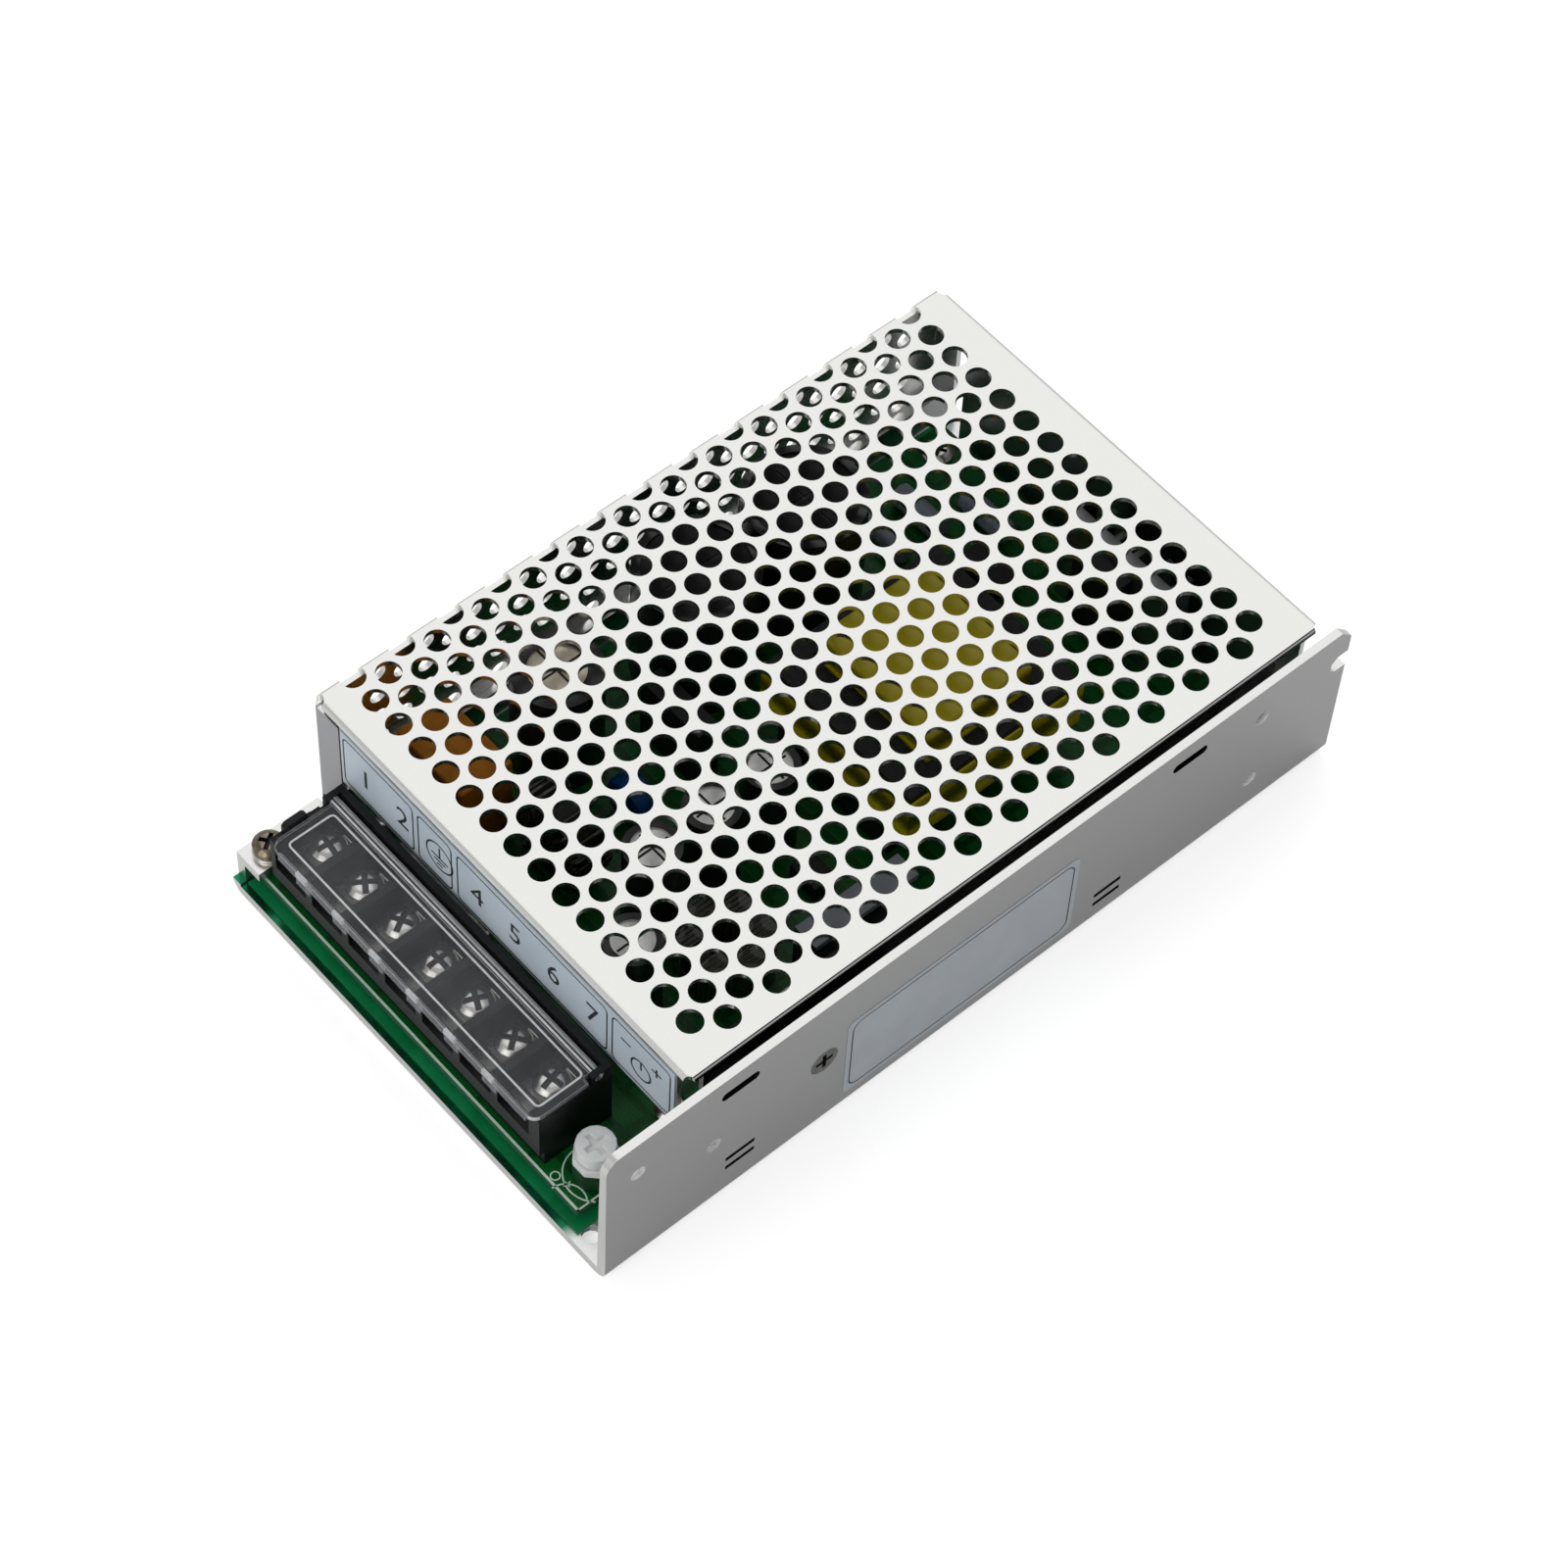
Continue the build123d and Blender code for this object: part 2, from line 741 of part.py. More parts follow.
with BuildPart() as terminal_lid:
    with BuildSketch(Plane.XY.offset(lid_bottom_z)) as lid_outline:
        with Locations((lid_left_x, lid_front_y)):
            Rectangle(
                lid_right_x - lid_left_x,
                ear_front_y - lid_ear_gap - lid_front_y,
                align=(Align.MIN, Align.MIN),
            )
        fillet(lid_outline.vertices().group_by(Axis.Y)[0], lid_corner_radius)
        with Locations(((block_left_x + block_right_x) / 2, ear_front_y - lid_ear_gap)):
            Rectangle(
                block_width - 2 * ear_thickness - 2 * hinge_gap,
                hinge_y - ear_front_y + lid_ear_gap,
                align=(Align.CENTER, Align.MIN),
            )
    extrude(amount=lid_thickness)

    # Front lip, with a lug that hooks over each divider
    box_between(
        (lid_left_x + lid_corner_radius, lid_right_x - lid_corner_radius),
        (lid_front_y, lid_front_y + lid_lip),
        (lid_bottom_z - lid_lip_drop, lid_bottom_z),
    )
    for x in lid_lug_x:
        box_between(
            (x - lid_lug_length / 2, x + lid_lug_length / 2),
            (lid_front_y, lid_front_y + lid_lip),
            (lid_bottom_z - lid_lip_drop - lid_lug_drop, lid_bottom_z - lid_lip_drop),
        )

    # Rolled rear edge with a pin at each end
    with BuildSketch(Plane.YZ.offset(pins_left_x)):
        with Locations((hinge_y, hinge_z)):
            RegularPolygon(hinge_radius, round_sides)
    extrude(amount=lid_right_x - pins_left_x)
finish(terminal_lid.part, "terminal_lid")


# Output adjuster

rotor_bottom_z = trimmer_body_top_z + rotor_gap

with BuildPart() as trimmer_body:
    with BuildSketch(Plane.XY.offset(board_top_z)):
        with Locations(trimmer_at):
            RegularPolygon(polygon_radius(trimmer_flats, bore_sides), bore_sides, rotation=22.5)
    extrude(amount=trimmer_body_top_z - board_top_z)
    with BuildSketch(Plane.XY.offset(trimmer_body_top_z)):
        with Locations(trimmer_at):
            RegularPolygon(polygon_radius(2 * (rotor_stem_radius + rotor_fit), bore_sides), bore_sides)
    extrude(amount=-rotor_stem_length, mode=Mode.SUBTRACT)
finish(trimmer_body.part, "trimmer_body")

with BuildPart() as trimmer_rotor:
    with BuildSketch(Plane.XY.offset(rotor_bottom_z)):
        with Locations(trimmer_at):
            RegularPolygon(rotor_radius, can_sides)
    extrude(amount=rotor_height)
    with BuildSketch(Plane.XY.offset(rotor_bottom_z)):
        with Locations(trimmer_at):
            RegularPolygon(rotor_stem_radius, round_sides)
    extrude(amount=-rotor_stem_length)
    with BuildSketch(Plane.XY.offset(rotor_bottom_z + rotor_height)):
        with Locations(trimmer_at):
            Rectangle(cross_length, cross_width)
            Rectangle(cross_width, cross_length)
    extrude(amount=-cross_depth, mode=Mode.SUBTRACT)
finish(trimmer_rotor.part, "trimmer_rotor")


# Labels

with BuildPart() as marking_strip:
    box_between(
        (strip_left_x, strip_right_x),
        (cover_front_y - strip_thickness, cover_front_y),
        (strip_bottom_z, strip_top_z),
    )
finish(marking_strip.part, "marking_strip")

with BuildPart() as side_label:
    with BuildSketch(wall_plane) as label_outline:
        with Locations((label_front_y, label_bottom_z)):
            Rectangle(
                label_rear_y - label_front_y,
                label_top_z - label_bottom_z,
                align=(Align.MIN, Align.MIN),
            )
        chamfer(label_outline.vertices(), label_corner_radius / 2)
    extrude(amount=label_thickness)
finish(side_label.part, "side_label")


# Mains input parts

with BuildPart() as line_fuse:
    with BuildSketch(Plane.YZ.offset(fuse_at[0])):
        with Locations((fuse_at[1], fuse_axis_z)):
            RegularPolygon(fuse_radius, bore_sides)
    extrude(amount=fuse_length / 2, both=True)
finish(line_fuse.part, "line_fuse")

fuse_clip_x = [fuse_at[0] + side * (fuse_length - fuse_cap_length) / 2 for side in (-1, 1)]
clip_outer = fuse_radius + fuse_clip_wall

with BuildPart() as fuse_clips:
    for x in fuse_clip_x:
        with BuildSketch(Plane.YZ.offset(x - fuse_cap_length / 2)):
            with Locations((fuse_at[1], board_top_z)):
                Rectangle(2 * clip_outer, fuse_axis_z - board_top_z, align=(Align.CENTER, Align.MIN))
            with Locations((fuse_at[1], fuse_axis_z)):
                RegularPolygon(fuse_radius, bore_sides, mode=Mode.SUBTRACT)
            with Locations((fuse_at[1], board_top_z + fuse_clip_wall)):
                Rectangle(
                    2 * fuse_radius,
                    fuse_axis_z - board_top_z,
                    align=(Align.CENTER, Align.MIN),
                    mode=Mode.SUBTRACT,
                )
        extrude(amount=fuse_cap_length)
finish(fuse_clips.part, "fuse_clips")


def standing_block(at, size, bottom_z=board_top_z):
    """A block that stands at a point of the board."""
    with Locations((*at, bottom_z)):
        Box(*size, align=(Align.CENTER, Align.CENTER, Align.MIN))


def can_plane(at):
    """A plane on the board, centred where a can stands."""
    return Plane(origin=(*at, board_top_z))


def disc_plane(at, radius):
    """A plane through the middle of a disc that stands on edge, its axis along Y."""
    return Plane(origin=(*at, board_top_z + radius), x_dir=(1, 0, 0), z_dir=(0, -1, 0))


with BuildPart() as film_capacitor:
    standing_block(film_capacitor_at, film_capacitor_size)
finish(film_capacitor.part, "film_capacitor")

with BuildPart() as inrush_thermistor:
    with BuildSketch(disc_plane(thermistor_at, thermistor_radius)):
        RegularPolygon(thermistor_radius, round_sides)
    extrude(amount=thermistor_thickness / 2, both=True)
finish(inrush_thermistor.part, "inrush_thermistor")

choke_plane = Plane(
    origin=(line_choke_at[0], line_choke_at[1], line_choke_axis_z),
    x_dir=(1, 0, 0),
    z_dir=(0, -1, 0),
)

with BuildPart() as line_choke_core:
    with BuildSketch(choke_plane):
        RegularPolygon(line_choke_radius, ring_sides)
        RegularPolygon(line_choke_bore, ring_sides, mode=Mode.SUBTRACT)
    extrude(amount=line_choke_thickness / 2, both=True)
finish(line_choke_core.part, "line_choke_core")

with BuildPart() as line_choke_windings:
    with BuildSketch(choke_plane):
        RegularPolygon(line_choke_radius + winding_wall, ring_sides)
        RegularPolygon(line_choke_bore - winding_wall, ring_sides, mode=Mode.SUBTRACT)
        Rectangle(choke_window, 3 * line_choke_radius, mode=Mode.SUBTRACT)
    extrude(amount=line_choke_thickness / 2 + winding_wall, both=True)
    with BuildSketch(choke_plane):
        RegularPolygon(line_choke_radius, ring_sides)
        RegularPolygon(line_choke_bore, ring_sides, mode=Mode.SUBTRACT)
    extrude(amount=line_choke_thickness / 2, both=True, mode=Mode.SUBTRACT)
finish(line_choke_windings.part, "line_choke_windings")

with BuildPart() as bridge_rectifier:
    standing_block(bridge_at, bridge_size)
finish(bridge_rectifier.part, "bridge_rectifier")

with BuildPart() as primary_capacitor:
    with BuildSketch(can_plane(primary_capacitor_at)):
        RegularPolygon(primary_capacitor_radius, can_sides)
    extrude(amount=primary_capacitor_height)
finish(primary_capacitor.part, "primary_capacitor")

with BuildPart() as bulk_capacitors:
    with BuildSketch(*[can_plane(at) for at in bulk_capacitors_at]):
        RegularPolygon(bulk_capacitor_radius, can_sides)
    extrude(amount=bulk_capacitor_height)
finish(bulk_capacitors.part, "bulk_capacitors")

with BuildPart() as blue_capacitors:
    with BuildSketch(*[disc_plane(at, blue_capacitor_radius) for at in blue_capacitors_at]):
        RegularPolygon(blue_capacitor_radius, round_sides)
    extrude(amount=blue_capacitor_thickness / 2, both=True)
finish(blue_capacitors.part, "blue_capacitors")


# Transformer

core_x, core_y, core_z = core_size
window_x = core_x - 2 * core_leg
window_y = core_y - 2 * core_back

with BuildPart() as transformer_core:
    with BuildSketch(Plane.XY.offset(core_axis_z)):
        with Locations(transformer_at):
            Rectangle(core_x, core_y)
            Rectangle(window_x, window_y, mode=Mode.SUBTRACT)
            Rectangle(core_centre_leg, window_y)
    extrude(amount=core_z / 2, both=True)
finish(transformer_core.part, "transformer_core")

with BuildPart() as transformer_winding:
    with Locations((*transformer_at, core_axis_z)):
        Box(window_x - 2 * winding_gap, window_y - 2 * winding_gap, winding_size_z)
        Box(core_centre_leg, window_y, core_z, mode=Mode.SUBTRACT)
finish(transformer_winding.part, "transformer_winding")

with BuildPart() as transformer_feet:
    for side in (-1, 1):
        standing_block(
            (transformer_at[0], transformer_at[1] + side * (core_y - core_back) / 2),
            (window_x, core_back, core_axis_z - core_z / 2 - board_top_z),
        )
finish(transformer_feet.part, "transformer_feet")

with BuildPart() as transformer_tape:
    with BuildSketch(Plane.XY.offset(core_axis_z)):
        with Locations(transformer_at):
            Rectangle(core_x + 2 * core_tape_thickness, core_y + 2 * core_tape_thickness)
            Rectangle(core_x, core_y, mode=Mode.SUBTRACT)
    extrude(amount=core_tape_width / 2, both=True)
finish(transformer_tape.part, "transformer_tape")


# Switching side

device_x, device_y, device_z = device_size

with BuildPart() as primary_heatsink:
    standing_block(heatsink_at, heatsink_size)
    with Locations((heatsink_at[0], heatsink_at[1] + heatsink_size[1] / 2, board_top_z)):
        with GridLocations((heatsink_size[0] - fin_thickness) / (fins - 1), 1, fins, 1):
            Box(
                fin_thickness,
                fin_depth,
                heatsink_size[2],
                align=(Align.CENTER, Align.MIN, Align.MIN),
            )
finish(primary_heatsink.part, "primary_heatsink")


def make_power_device(plane):
    """Flat plastic power device with three leads, standing in a plane whose Z leaves its back."""
    with BuildPart() as device:
        with BuildSketch(plane):
            with Locations((0, device_bottom_z)):
                Rectangle(device_x, device_z, align=(Align.CENTER, Align.MIN))
        extrude(amount=device_y)
        with BuildSketch(plane.offset(device_y / 2)):
            with Locations([(lead_pitch * k, board_top_z) for k in (-1, 0, 1)]):
                Rectangle(lead_width, device_bottom_z - board_top_z, align=(Align.CENTER, Align.MIN))
        extrude(amount=lead_width)
    return device.part


heatsink_face = Plane(
    origin=(heatsink_at[0], heatsink_at[1] - heatsink_size[1] / 2, 0),
    x_dir=(1, 0, 0),
    z_dir=(0, -1, 0),
)
finish(make_power_device(heatsink_face), "switch_transistor")

with BuildPart() as controller_chip:
    standing_block(chip_at, chip_size, board_top_z + chip_leg)
    with Locations((*chip_at, board_top_z)):
        with GridLocations(lead_pitch, chip_size[1], chip_legs_per_side, 2):
            Box(lead_width, lead_width, 2 * chip_leg, align=(Align.CENTER, Align.CENTER, Align.MIN))
finish(controller_chip.part, "controller_chip")

with BuildPart() as power_resistors:
    for x, y in resistors_at:
        with BuildSketch(Plane.YZ.offset(x)):
            with Locations((y, board_top_z + resistor_radius)):
                RegularPolygon(resistor_radius, bore_sides)
        extrude(amount=resistor_length / 2, both=True)
finish(power_resistors.part, "power_resistors")

with BuildPart() as snubber_capacitor:
    standing_block(snubber_at, snubber_size)
finish(snubber_capacitor.part, "snubber_capacitor")


# Output side, clamped to the right wall

spreader_inner_x = wall_inner_x - spreader_thickness
device_back_x = spreader_inner_x - pad_thickness
clamp_back_x = device_back_x - device_y
clamp_y, clamp_z = clamp_screw_at

with BuildPart() as heat_spreader:
    box_between(
        (spreader_inner_x, wall_inner_x),
        (spreader_front_y, spreader_rear_y),
        (spreader_bottom_z, spreader_top_z),
    )
    with BuildSketch(wall_plane.offset(-chassis_sheet)):
        with Locations(clamp_screw_at):
            RegularPolygon(polygon_radius(2 * screw_hole_radius, bore_sides), bore_sides)
    extrude(amount=-spreader_thickness, mode=Mode.SUBTRACT)
finish(heat_spreader.part, "heat_spreader")

with BuildPart() as thermal_pad:
    for y in rectifiers_y:
        box_between(
            (device_back_x, spreader_inner_x),
            (y - device_x / 2, y + device_x / 2),
            (device_bottom_z, device_bottom_z + device_z),
        )
finish(thermal_pad.part, "thermal_pad")

rectifier_planes = [Plane(origin=(device_back_x, y, 0), x_dir=(0, -1, 0), z_dir=(-1, 0, 0)) for y in rectifiers_y]
rectifiers = [make_power_device(plane) for plane in rectifier_planes]

with BuildPart() as output_rectifiers:
    add(rectifiers)
finish(output_rectifiers.part, "output_rectifiers")

with BuildPart() as clamp_bar:
    box_between(
        (clamp_back_x - clamp_bar_thickness, clamp_back_x),
        (clamp_y - clamp_bar_length / 2, clamp_y + clamp_bar_length / 2),
        (clamp_z - clamp_bar_height / 2, clamp_z + clamp_bar_height / 2),
    )
    with BuildSketch(wall_plane.offset(clamp_back_x - wall_outer_x)):
        with Locations(clamp_screw_at):
            RegularPolygon(polygon_radius(2 * tapped_hole_radius, bore_sides), bore_sides)
    extrude(amount=-clamp_bar_thickness, mode=Mode.SUBTRACT)
finish(clamp_bar.part, "clamp_bar")

with BuildPart() as clamp_screw:
    with BuildSketch(wall_plane):
        with Locations(clamp_screw_at):
            RegularPolygon(clamp_screw_head_radius, round_sides)
    extrude(amount=-clamp_screw_head_depth, taper=countersink_slope)
    with BuildSketch(wall_plane):
        with Locations(clamp_screw_at):
            RegularPolygon(tapped_hole_radius, bore_sides)
    extrude(amount=clamp_back_x - clamp_bar_thickness - wall_outer_x)
finish(clamp_screw.part, "clamp_screw")

with BuildPart() as output_heatsink:
    standing_block(output_heatsink_at, output_heatsink_size)
    fin_pitch = (output_heatsink_size[2] - fin_thickness) / (output_fins - 1)
    for k in range(output_fins):
        with Locations((output_heatsink_at[0], output_heatsink_at[1], board_top_z + k * fin_pitch)):
            Box(
                fin_depth,
                output_heatsink_size[1],
                fin_thickness,
                align=(Align.MIN, Align.CENTER, Align.MIN),
            )
finish(output_heatsink.part, "output_heatsink")

ring_bottom_z = board_top_z + winding_wall
ring_plane = Plane.XY.offset(ring_bottom_z)

with BuildPart() as output_choke_core:
    with BuildSketch(ring_plane):
        with Locations(output_choke_at):
            RegularPolygon(output_choke_radius, ring_sides)
            RegularPolygon(output_choke_bore, ring_sides, mode=Mode.SUBTRACT)
    extrude(amount=output_choke_thickness)
finish(output_choke_core.part, "output_choke_core")

with BuildPart() as output_choke_winding:
    with BuildSketch(Plane.XY.offset(board_top_z)):
        with Locations(output_choke_at):
            RegularPolygon(output_choke_radius + winding_wall, ring_sides)
            RegularPolygon(output_choke_bore - winding_wall, ring_sides, mode=Mode.SUBTRACT)
            with Locations((0, -output_choke_radius)):
                Rectangle(choke_window, 2 * output_choke_radius, mode=Mode.SUBTRACT)
    extrude(amount=output_choke_thickness + 2 * winding_wall)
    with BuildSketch(ring_plane):
        with Locations(output_choke_at):
            RegularPolygon(output_choke_radius, ring_sides)
            RegularPolygon(output_choke_bore, ring_sides, mode=Mode.SUBTRACT)
    extrude(amount=output_choke_thickness, mode=Mode.SUBTRACT)
finish(output_choke_winding.part, "output_choke_winding")

with BuildPart() as output_capacitors:
    with BuildSketch(*[can_plane(at) for at in output_capacitors_at]):
        RegularPolygon(output_capacitor_radius, round_sides)
    extrude(amount=output_capacitor_height)
finish(output_capacitors.part, "output_capacitors")

with BuildPart() as optocoupler:
    standing_block(optocoupler_at, optocoupler_size)
finish(optocoupler.part, "optocoupler")
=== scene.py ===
import math
from contextlib import contextmanager

import bmesh
import bpy
from mathutils import Euler, Matrix, Vector


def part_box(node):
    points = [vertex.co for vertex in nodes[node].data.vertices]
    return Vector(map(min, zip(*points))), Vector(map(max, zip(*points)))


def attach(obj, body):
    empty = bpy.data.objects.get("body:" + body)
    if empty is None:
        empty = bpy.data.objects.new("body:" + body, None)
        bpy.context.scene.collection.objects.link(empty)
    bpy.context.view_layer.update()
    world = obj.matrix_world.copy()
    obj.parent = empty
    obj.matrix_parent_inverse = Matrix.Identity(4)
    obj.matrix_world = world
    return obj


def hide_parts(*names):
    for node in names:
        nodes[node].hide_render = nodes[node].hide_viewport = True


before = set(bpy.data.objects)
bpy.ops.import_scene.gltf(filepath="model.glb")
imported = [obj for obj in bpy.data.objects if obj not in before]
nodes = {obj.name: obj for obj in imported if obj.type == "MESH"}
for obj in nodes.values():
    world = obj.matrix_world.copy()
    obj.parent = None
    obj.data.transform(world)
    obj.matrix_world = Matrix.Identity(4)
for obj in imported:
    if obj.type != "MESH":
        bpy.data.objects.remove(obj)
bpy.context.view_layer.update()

# Sizes and places, in millimetres

MM = 0.001


def corners(node):
    """The two corners of a CAD node's box, in millimetres."""
    return [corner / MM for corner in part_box(node)]


BOARD_TOP_Z = corners("circuit_board")[1].z
# where the floor's painted reflection of the green board gives way to plain bright metal: across x at the
# open corner, along y towards the back
OPEN_CORNER_X = (37.5, 40.5)
PAINTED_REFLECTION_END_Y = (-76.5, -72.0)

WAYS = 7
FIRST_WAY_X = -34.8
WAY_PITCH = 9.5
SCREW_Y = -68.7
WASHER_TOP_Z = corners("terminal_washer_1")[1].z
WASHER_LIP = ((-0.3, 3.15, -0.3), (2.3, 3.5, 1.5))
LID_TOP_Z = 21.2

# the folded and perforated cover
COVER_LOW, COVER_HIGH = corners("cover")
SHEET = 1.0
TOP_UNDER_Z = COVER_HIGH.z - SHEET
LEFT_FOLD = 1.0
RIGHT_FOLD = 0.7
FOLD_RELIEF = 1.3
FLANGE_LEFT_X = -41.5
FLANGE_RIGHT_X = 42.4
SIDE_FLANGE_RIGHT_X = -41.9
FRONT_FLANGE_BOTTOM_Z = 19.5
REAR_FLANGE_LEFT_X = -39.4
REAR_FLANGE_BOTTOM_Z = 2.6
SIDE_FLANGE_BOTTOM_Z = 9.3
RIGHT_LIP_Y = (-57.4, 65.0)
RIGHT_LIP_BOTTOM_Z = 26.0
HOLE_RADIUS = 2.25
SIDE_HOLE_RADIUS = 1.71
FIRST_HOLE = (-47.3, -53.1)
HOLE_PITCH = (6.0, 5.0)
SIDE_FIELD_Z = 11.2
SIDE_FIELD_LENGTH = 120.5
WHOLE_LENGTH = 1000.0

# the chassis
WALL = 2.0
RIM_THINNING = 0.5
# slits in the wall, whose faces get painted shade
SLITS = ((-52.6, 31.2), (43.1, 31.2), (-52.0, 9.6), (27.6, 7.2))

# screws: radius and height of the head, radius and length of the shank, length of the recess
TERMINAL_SCREW = (3.1, 2.2, 1.6, 6.2, 4.4)
BOARD_SCREW = (2.8, 2.0, 1.25, 3.6, 3.2)
EARTH_SCREW = (2.8, 2.0, 1.5, 2.7, 3.4)
COVER_SCREW = (1.5, 0.9, 1.3, 2.4, 2.1)
BOARD_SCREWS_AT = [(x, y, BOARD_TOP_Z) for x in (-37.5, 34.2) for y in (-54.0, 67.5)]
EARTH_SCREW_AT = (-44.3, -74.0, 9.7)
COVER_SCREWS_AT = [(COVER_LOW.x + 0.95, y, 5.4) for y in (-42.0, 55.0)]
SCREW_HOLE_ROOM = 0.12

# the adjuster
ADJUSTER_AT = (35.0, -70.3)
# below this height the trimmer body is dark green: a painted shadow
TRIMMER_SHADOW_TOP_Z = 10.6

# prints
INK = 0.02
FIELDS = ((-40.6, -22.4), (-21.4, -12.6), (-11.4, 26.0), (27.0, 41.2))
FIELD_LOW_Z, FIELD_HIGH_Z = 21.1, 33.6
SIGN_Z = 27.3
EARTH_WAY = 2


# Materials

def screen(red, green, blue):
    """A colour as a screen shows it, 0 to 255, made linear."""
    linear = [((c / 255 + 0.055) / 1.055) ** 2.4 if c > 10 else c / 255 / 12.92 for c in (red, green, blue)]
    return (*linear, 1.0)


class Finish:
    """A material whose colour, gloss and relief all follow patterns in the piece's own space."""

    def __init__(self, name, metallic=0.0, **sockets):
        self.material = bpy.data.materials.new(name)
        self.material.use_nodes = True
        self.tree = self.material.node_tree
        self.shader = self.tree.nodes["Principled BSDF"]
        self.shader.inputs["Metallic"].default_value = metallic
        for socket, value in sockets.items():
            self.shader.inputs[socket.replace("_", " ")].default_value = value
        self.coordinates = self.tree.nodes.new("ShaderNodeTexCoord")
        self.relief = None

    def node(self, kind, **values):
        made = self.tree.nodes.new(kind)
        for name, value in values.items():
            if name in made.bl_rna.properties:
                setattr(made, name, value)
            else:
                made.inputs[name.replace("_", " ")].default_value = value
        return made

    def link(self, source, target):
        self.tree.links.new(source, target)

    def place(self, stretch=(1, 1, 1)):
        mapping = self.node("ShaderNodeMapping", Scale=stretch)
        self.link(self.coordinates.outputs["Object"], mapping.inputs["Vector"])
        return mapping.outputs["Vector"]

    def noise(self, size, stretch=(1, 1, 1), detail=3.0, rough=0.5):
        """Noise whose patches are about size millimetres across."""
        made = self.node("ShaderNodeTexNoise", Scale=1 / (size * MM), Detail=detail, Roughness=rough)
        self.link(self.place(stretch), made.inputs["Vector"])
        return made.outputs["Fac"]

    def blend(self, factor, first, second, low=0.35, high=0.65):
        """A colour between two others, steered by a pattern."""
        ramp = self.node("ShaderNodeValToRGB")
        for element, position, tone in zip(ramp.color_ramp.elements, (low, high), (first, second)):
            element.position = position
            element.color = tone
        self.link(factor, ramp.inputs["Fac"])
        return ramp.outputs["Color"]

    def mix(self, factor, first, second):
        made = self.node("ShaderNodeMix", data_type="RGBA")
        for value, socket in ((factor, made.inputs[0]), (first, made.inputs[6]), (second, made.inputs[7])):
            if isinstance(value, bpy.types.NodeSocket):
                self.link(value, socket)
            else:
                socket.default_value = value
        return made.outputs[2]

    def greater(self, first, second):
        """The greater of two patterns."""
        made = self.node("ShaderNodeMath", operation="MAXIMUM")
        self.link(first, made.inputs[0])
        self.link(second, made.inputs[1])
        return made.outputs[0]

    def spread(self, factor, low, high, socket="Roughness"):
        made = self.node("ShaderNodeMapRange", To_Min=low, To_Max=high)
        self.link(factor, made.inputs["Value"])
        self.link(made.outputs["Result"], self.shader.inputs[socket])

    def raise_by(self, height, depth):
        """Adds relief, depth millimetres deep."""
        made = self.node("ShaderNodeBump", Distance=depth * MM, Strength=1.0)
        self.link(height, made.inputs["Height"])
        if self.relief is not None:
            self.link(self.relief, made.inputs["Normal"])
        self.relief = made.outputs["Normal"]
        self.link(self.relief, self.shader.inputs["Normal"])

    def colour(self, socket):
        self.link(socket, self.shader.inputs["Base Color"])


def plain_finish(name, first, second, patch, rough, grain, relief, metallic=0.0, **sockets):
    """Two close tones in patches, a spread of gloss and a fine grain, both sized in millimetres."""
    made = Finish(name, metallic, **sockets)
    made.colour(made.blend(made.noise(patch), screen(*first), screen(*second)))
    fine = made.noise(grain, detail=2.0)
    made.spread(fine, *rough)
    made.raise_by(fine, relief)
    return made.material


def sheet_finish(name, first, second, rough, brush_along):
    """Rolled sheet metal: long fine brush lines one way over broad soft patches."""
    made = Finish(name, 1.0)
    first, second = screen(*first), screen(*second)
    stretch = tuple(0.02 if axis == brush_along else 1.0 for axis in range(3))
    lines = made.noise(0.16, stretch, detail=4.0, rough=0.7)
    cloud = made.noise(14, detail=2.0)
    made.colour(made.mix(lines, made.blend(cloud, first, second), made.blend(cloud, second, first)))
    made.spread(lines, *rough)
    made.raise_by(lines, 0.004)
    return made.material


def board_finish():
    """Green solder mask over copper tracks, with the bare laminate at the cut edge."""
    made = Finish("solder_mask", 0.0, Coat_Weight=0.05, Coat_Roughness=0.12, Specular_IOR_Level=0.2)
    tracks = made.node(
        "ShaderNodeTexBrick",
        Scale=1.0,
        Color1=(1, 1, 1, 1),
        Color2=(0.82, 0.82, 0.82, 1),
        Mortar=(0, 0, 0, 1),
        Mortar_Size=0.7 * MM,
        Mortar_Smooth=0.2,
        Brick_Width=13 * MM,
        Row_Height=5.2 * MM,
    )
    made.link(made.place(), tracks.inputs["Vector"])
    mask = made.mix(tracks.outputs["Color"], screen(4, 58, 24), screen(8, 104, 44))
    made.colour(made.mix(made.noise(9), mask, screen(4, 86, 28)))
    fine = made.noise(0.35)
    made.spread(fine, 0.22, 0.34)
    made.raise_by(tracks.outputs["Color"], 0.03)
    made.raise_by(fine, 0.006)
    return made.material


def floor_finish():
    """Polished chassis floor: painted reflection of the green board at the front, plain bright metal at the
    open corner and behind.
    """
    made = Finish("painted_reflection_floor", 0.85)
    parts = made.node("ShaderNodeSeparateXYZ")
    made.link(made.coordinates.outputs["Object"], parts.inputs["Vector"])
    ends = []
    for axis, (start, stop) in (("X", OPEN_CORNER_X), ("Y", PAINTED_REFLECTION_END_Y)):
        end = made.node("ShaderNodeMapRange", From_Min=start * MM, From_Max=stop * MM)
        made.link(parts.outputs[axis], end.inputs["Value"])
        ends.append(end.outputs["Result"])
    cloud = made.noise(3)
    # painted reflection of the green board, in two greens
    deep = made.blend(cloud, screen(20, 108, 70), screen(32, 138, 94))
    made.colour(made.mix(made.greater(*ends), deep, screen(240, 241, 240)))
    made.spread(cloud, 0.14, 0.24)
    made.raise_by(cloud, 0.01)
    return made.material


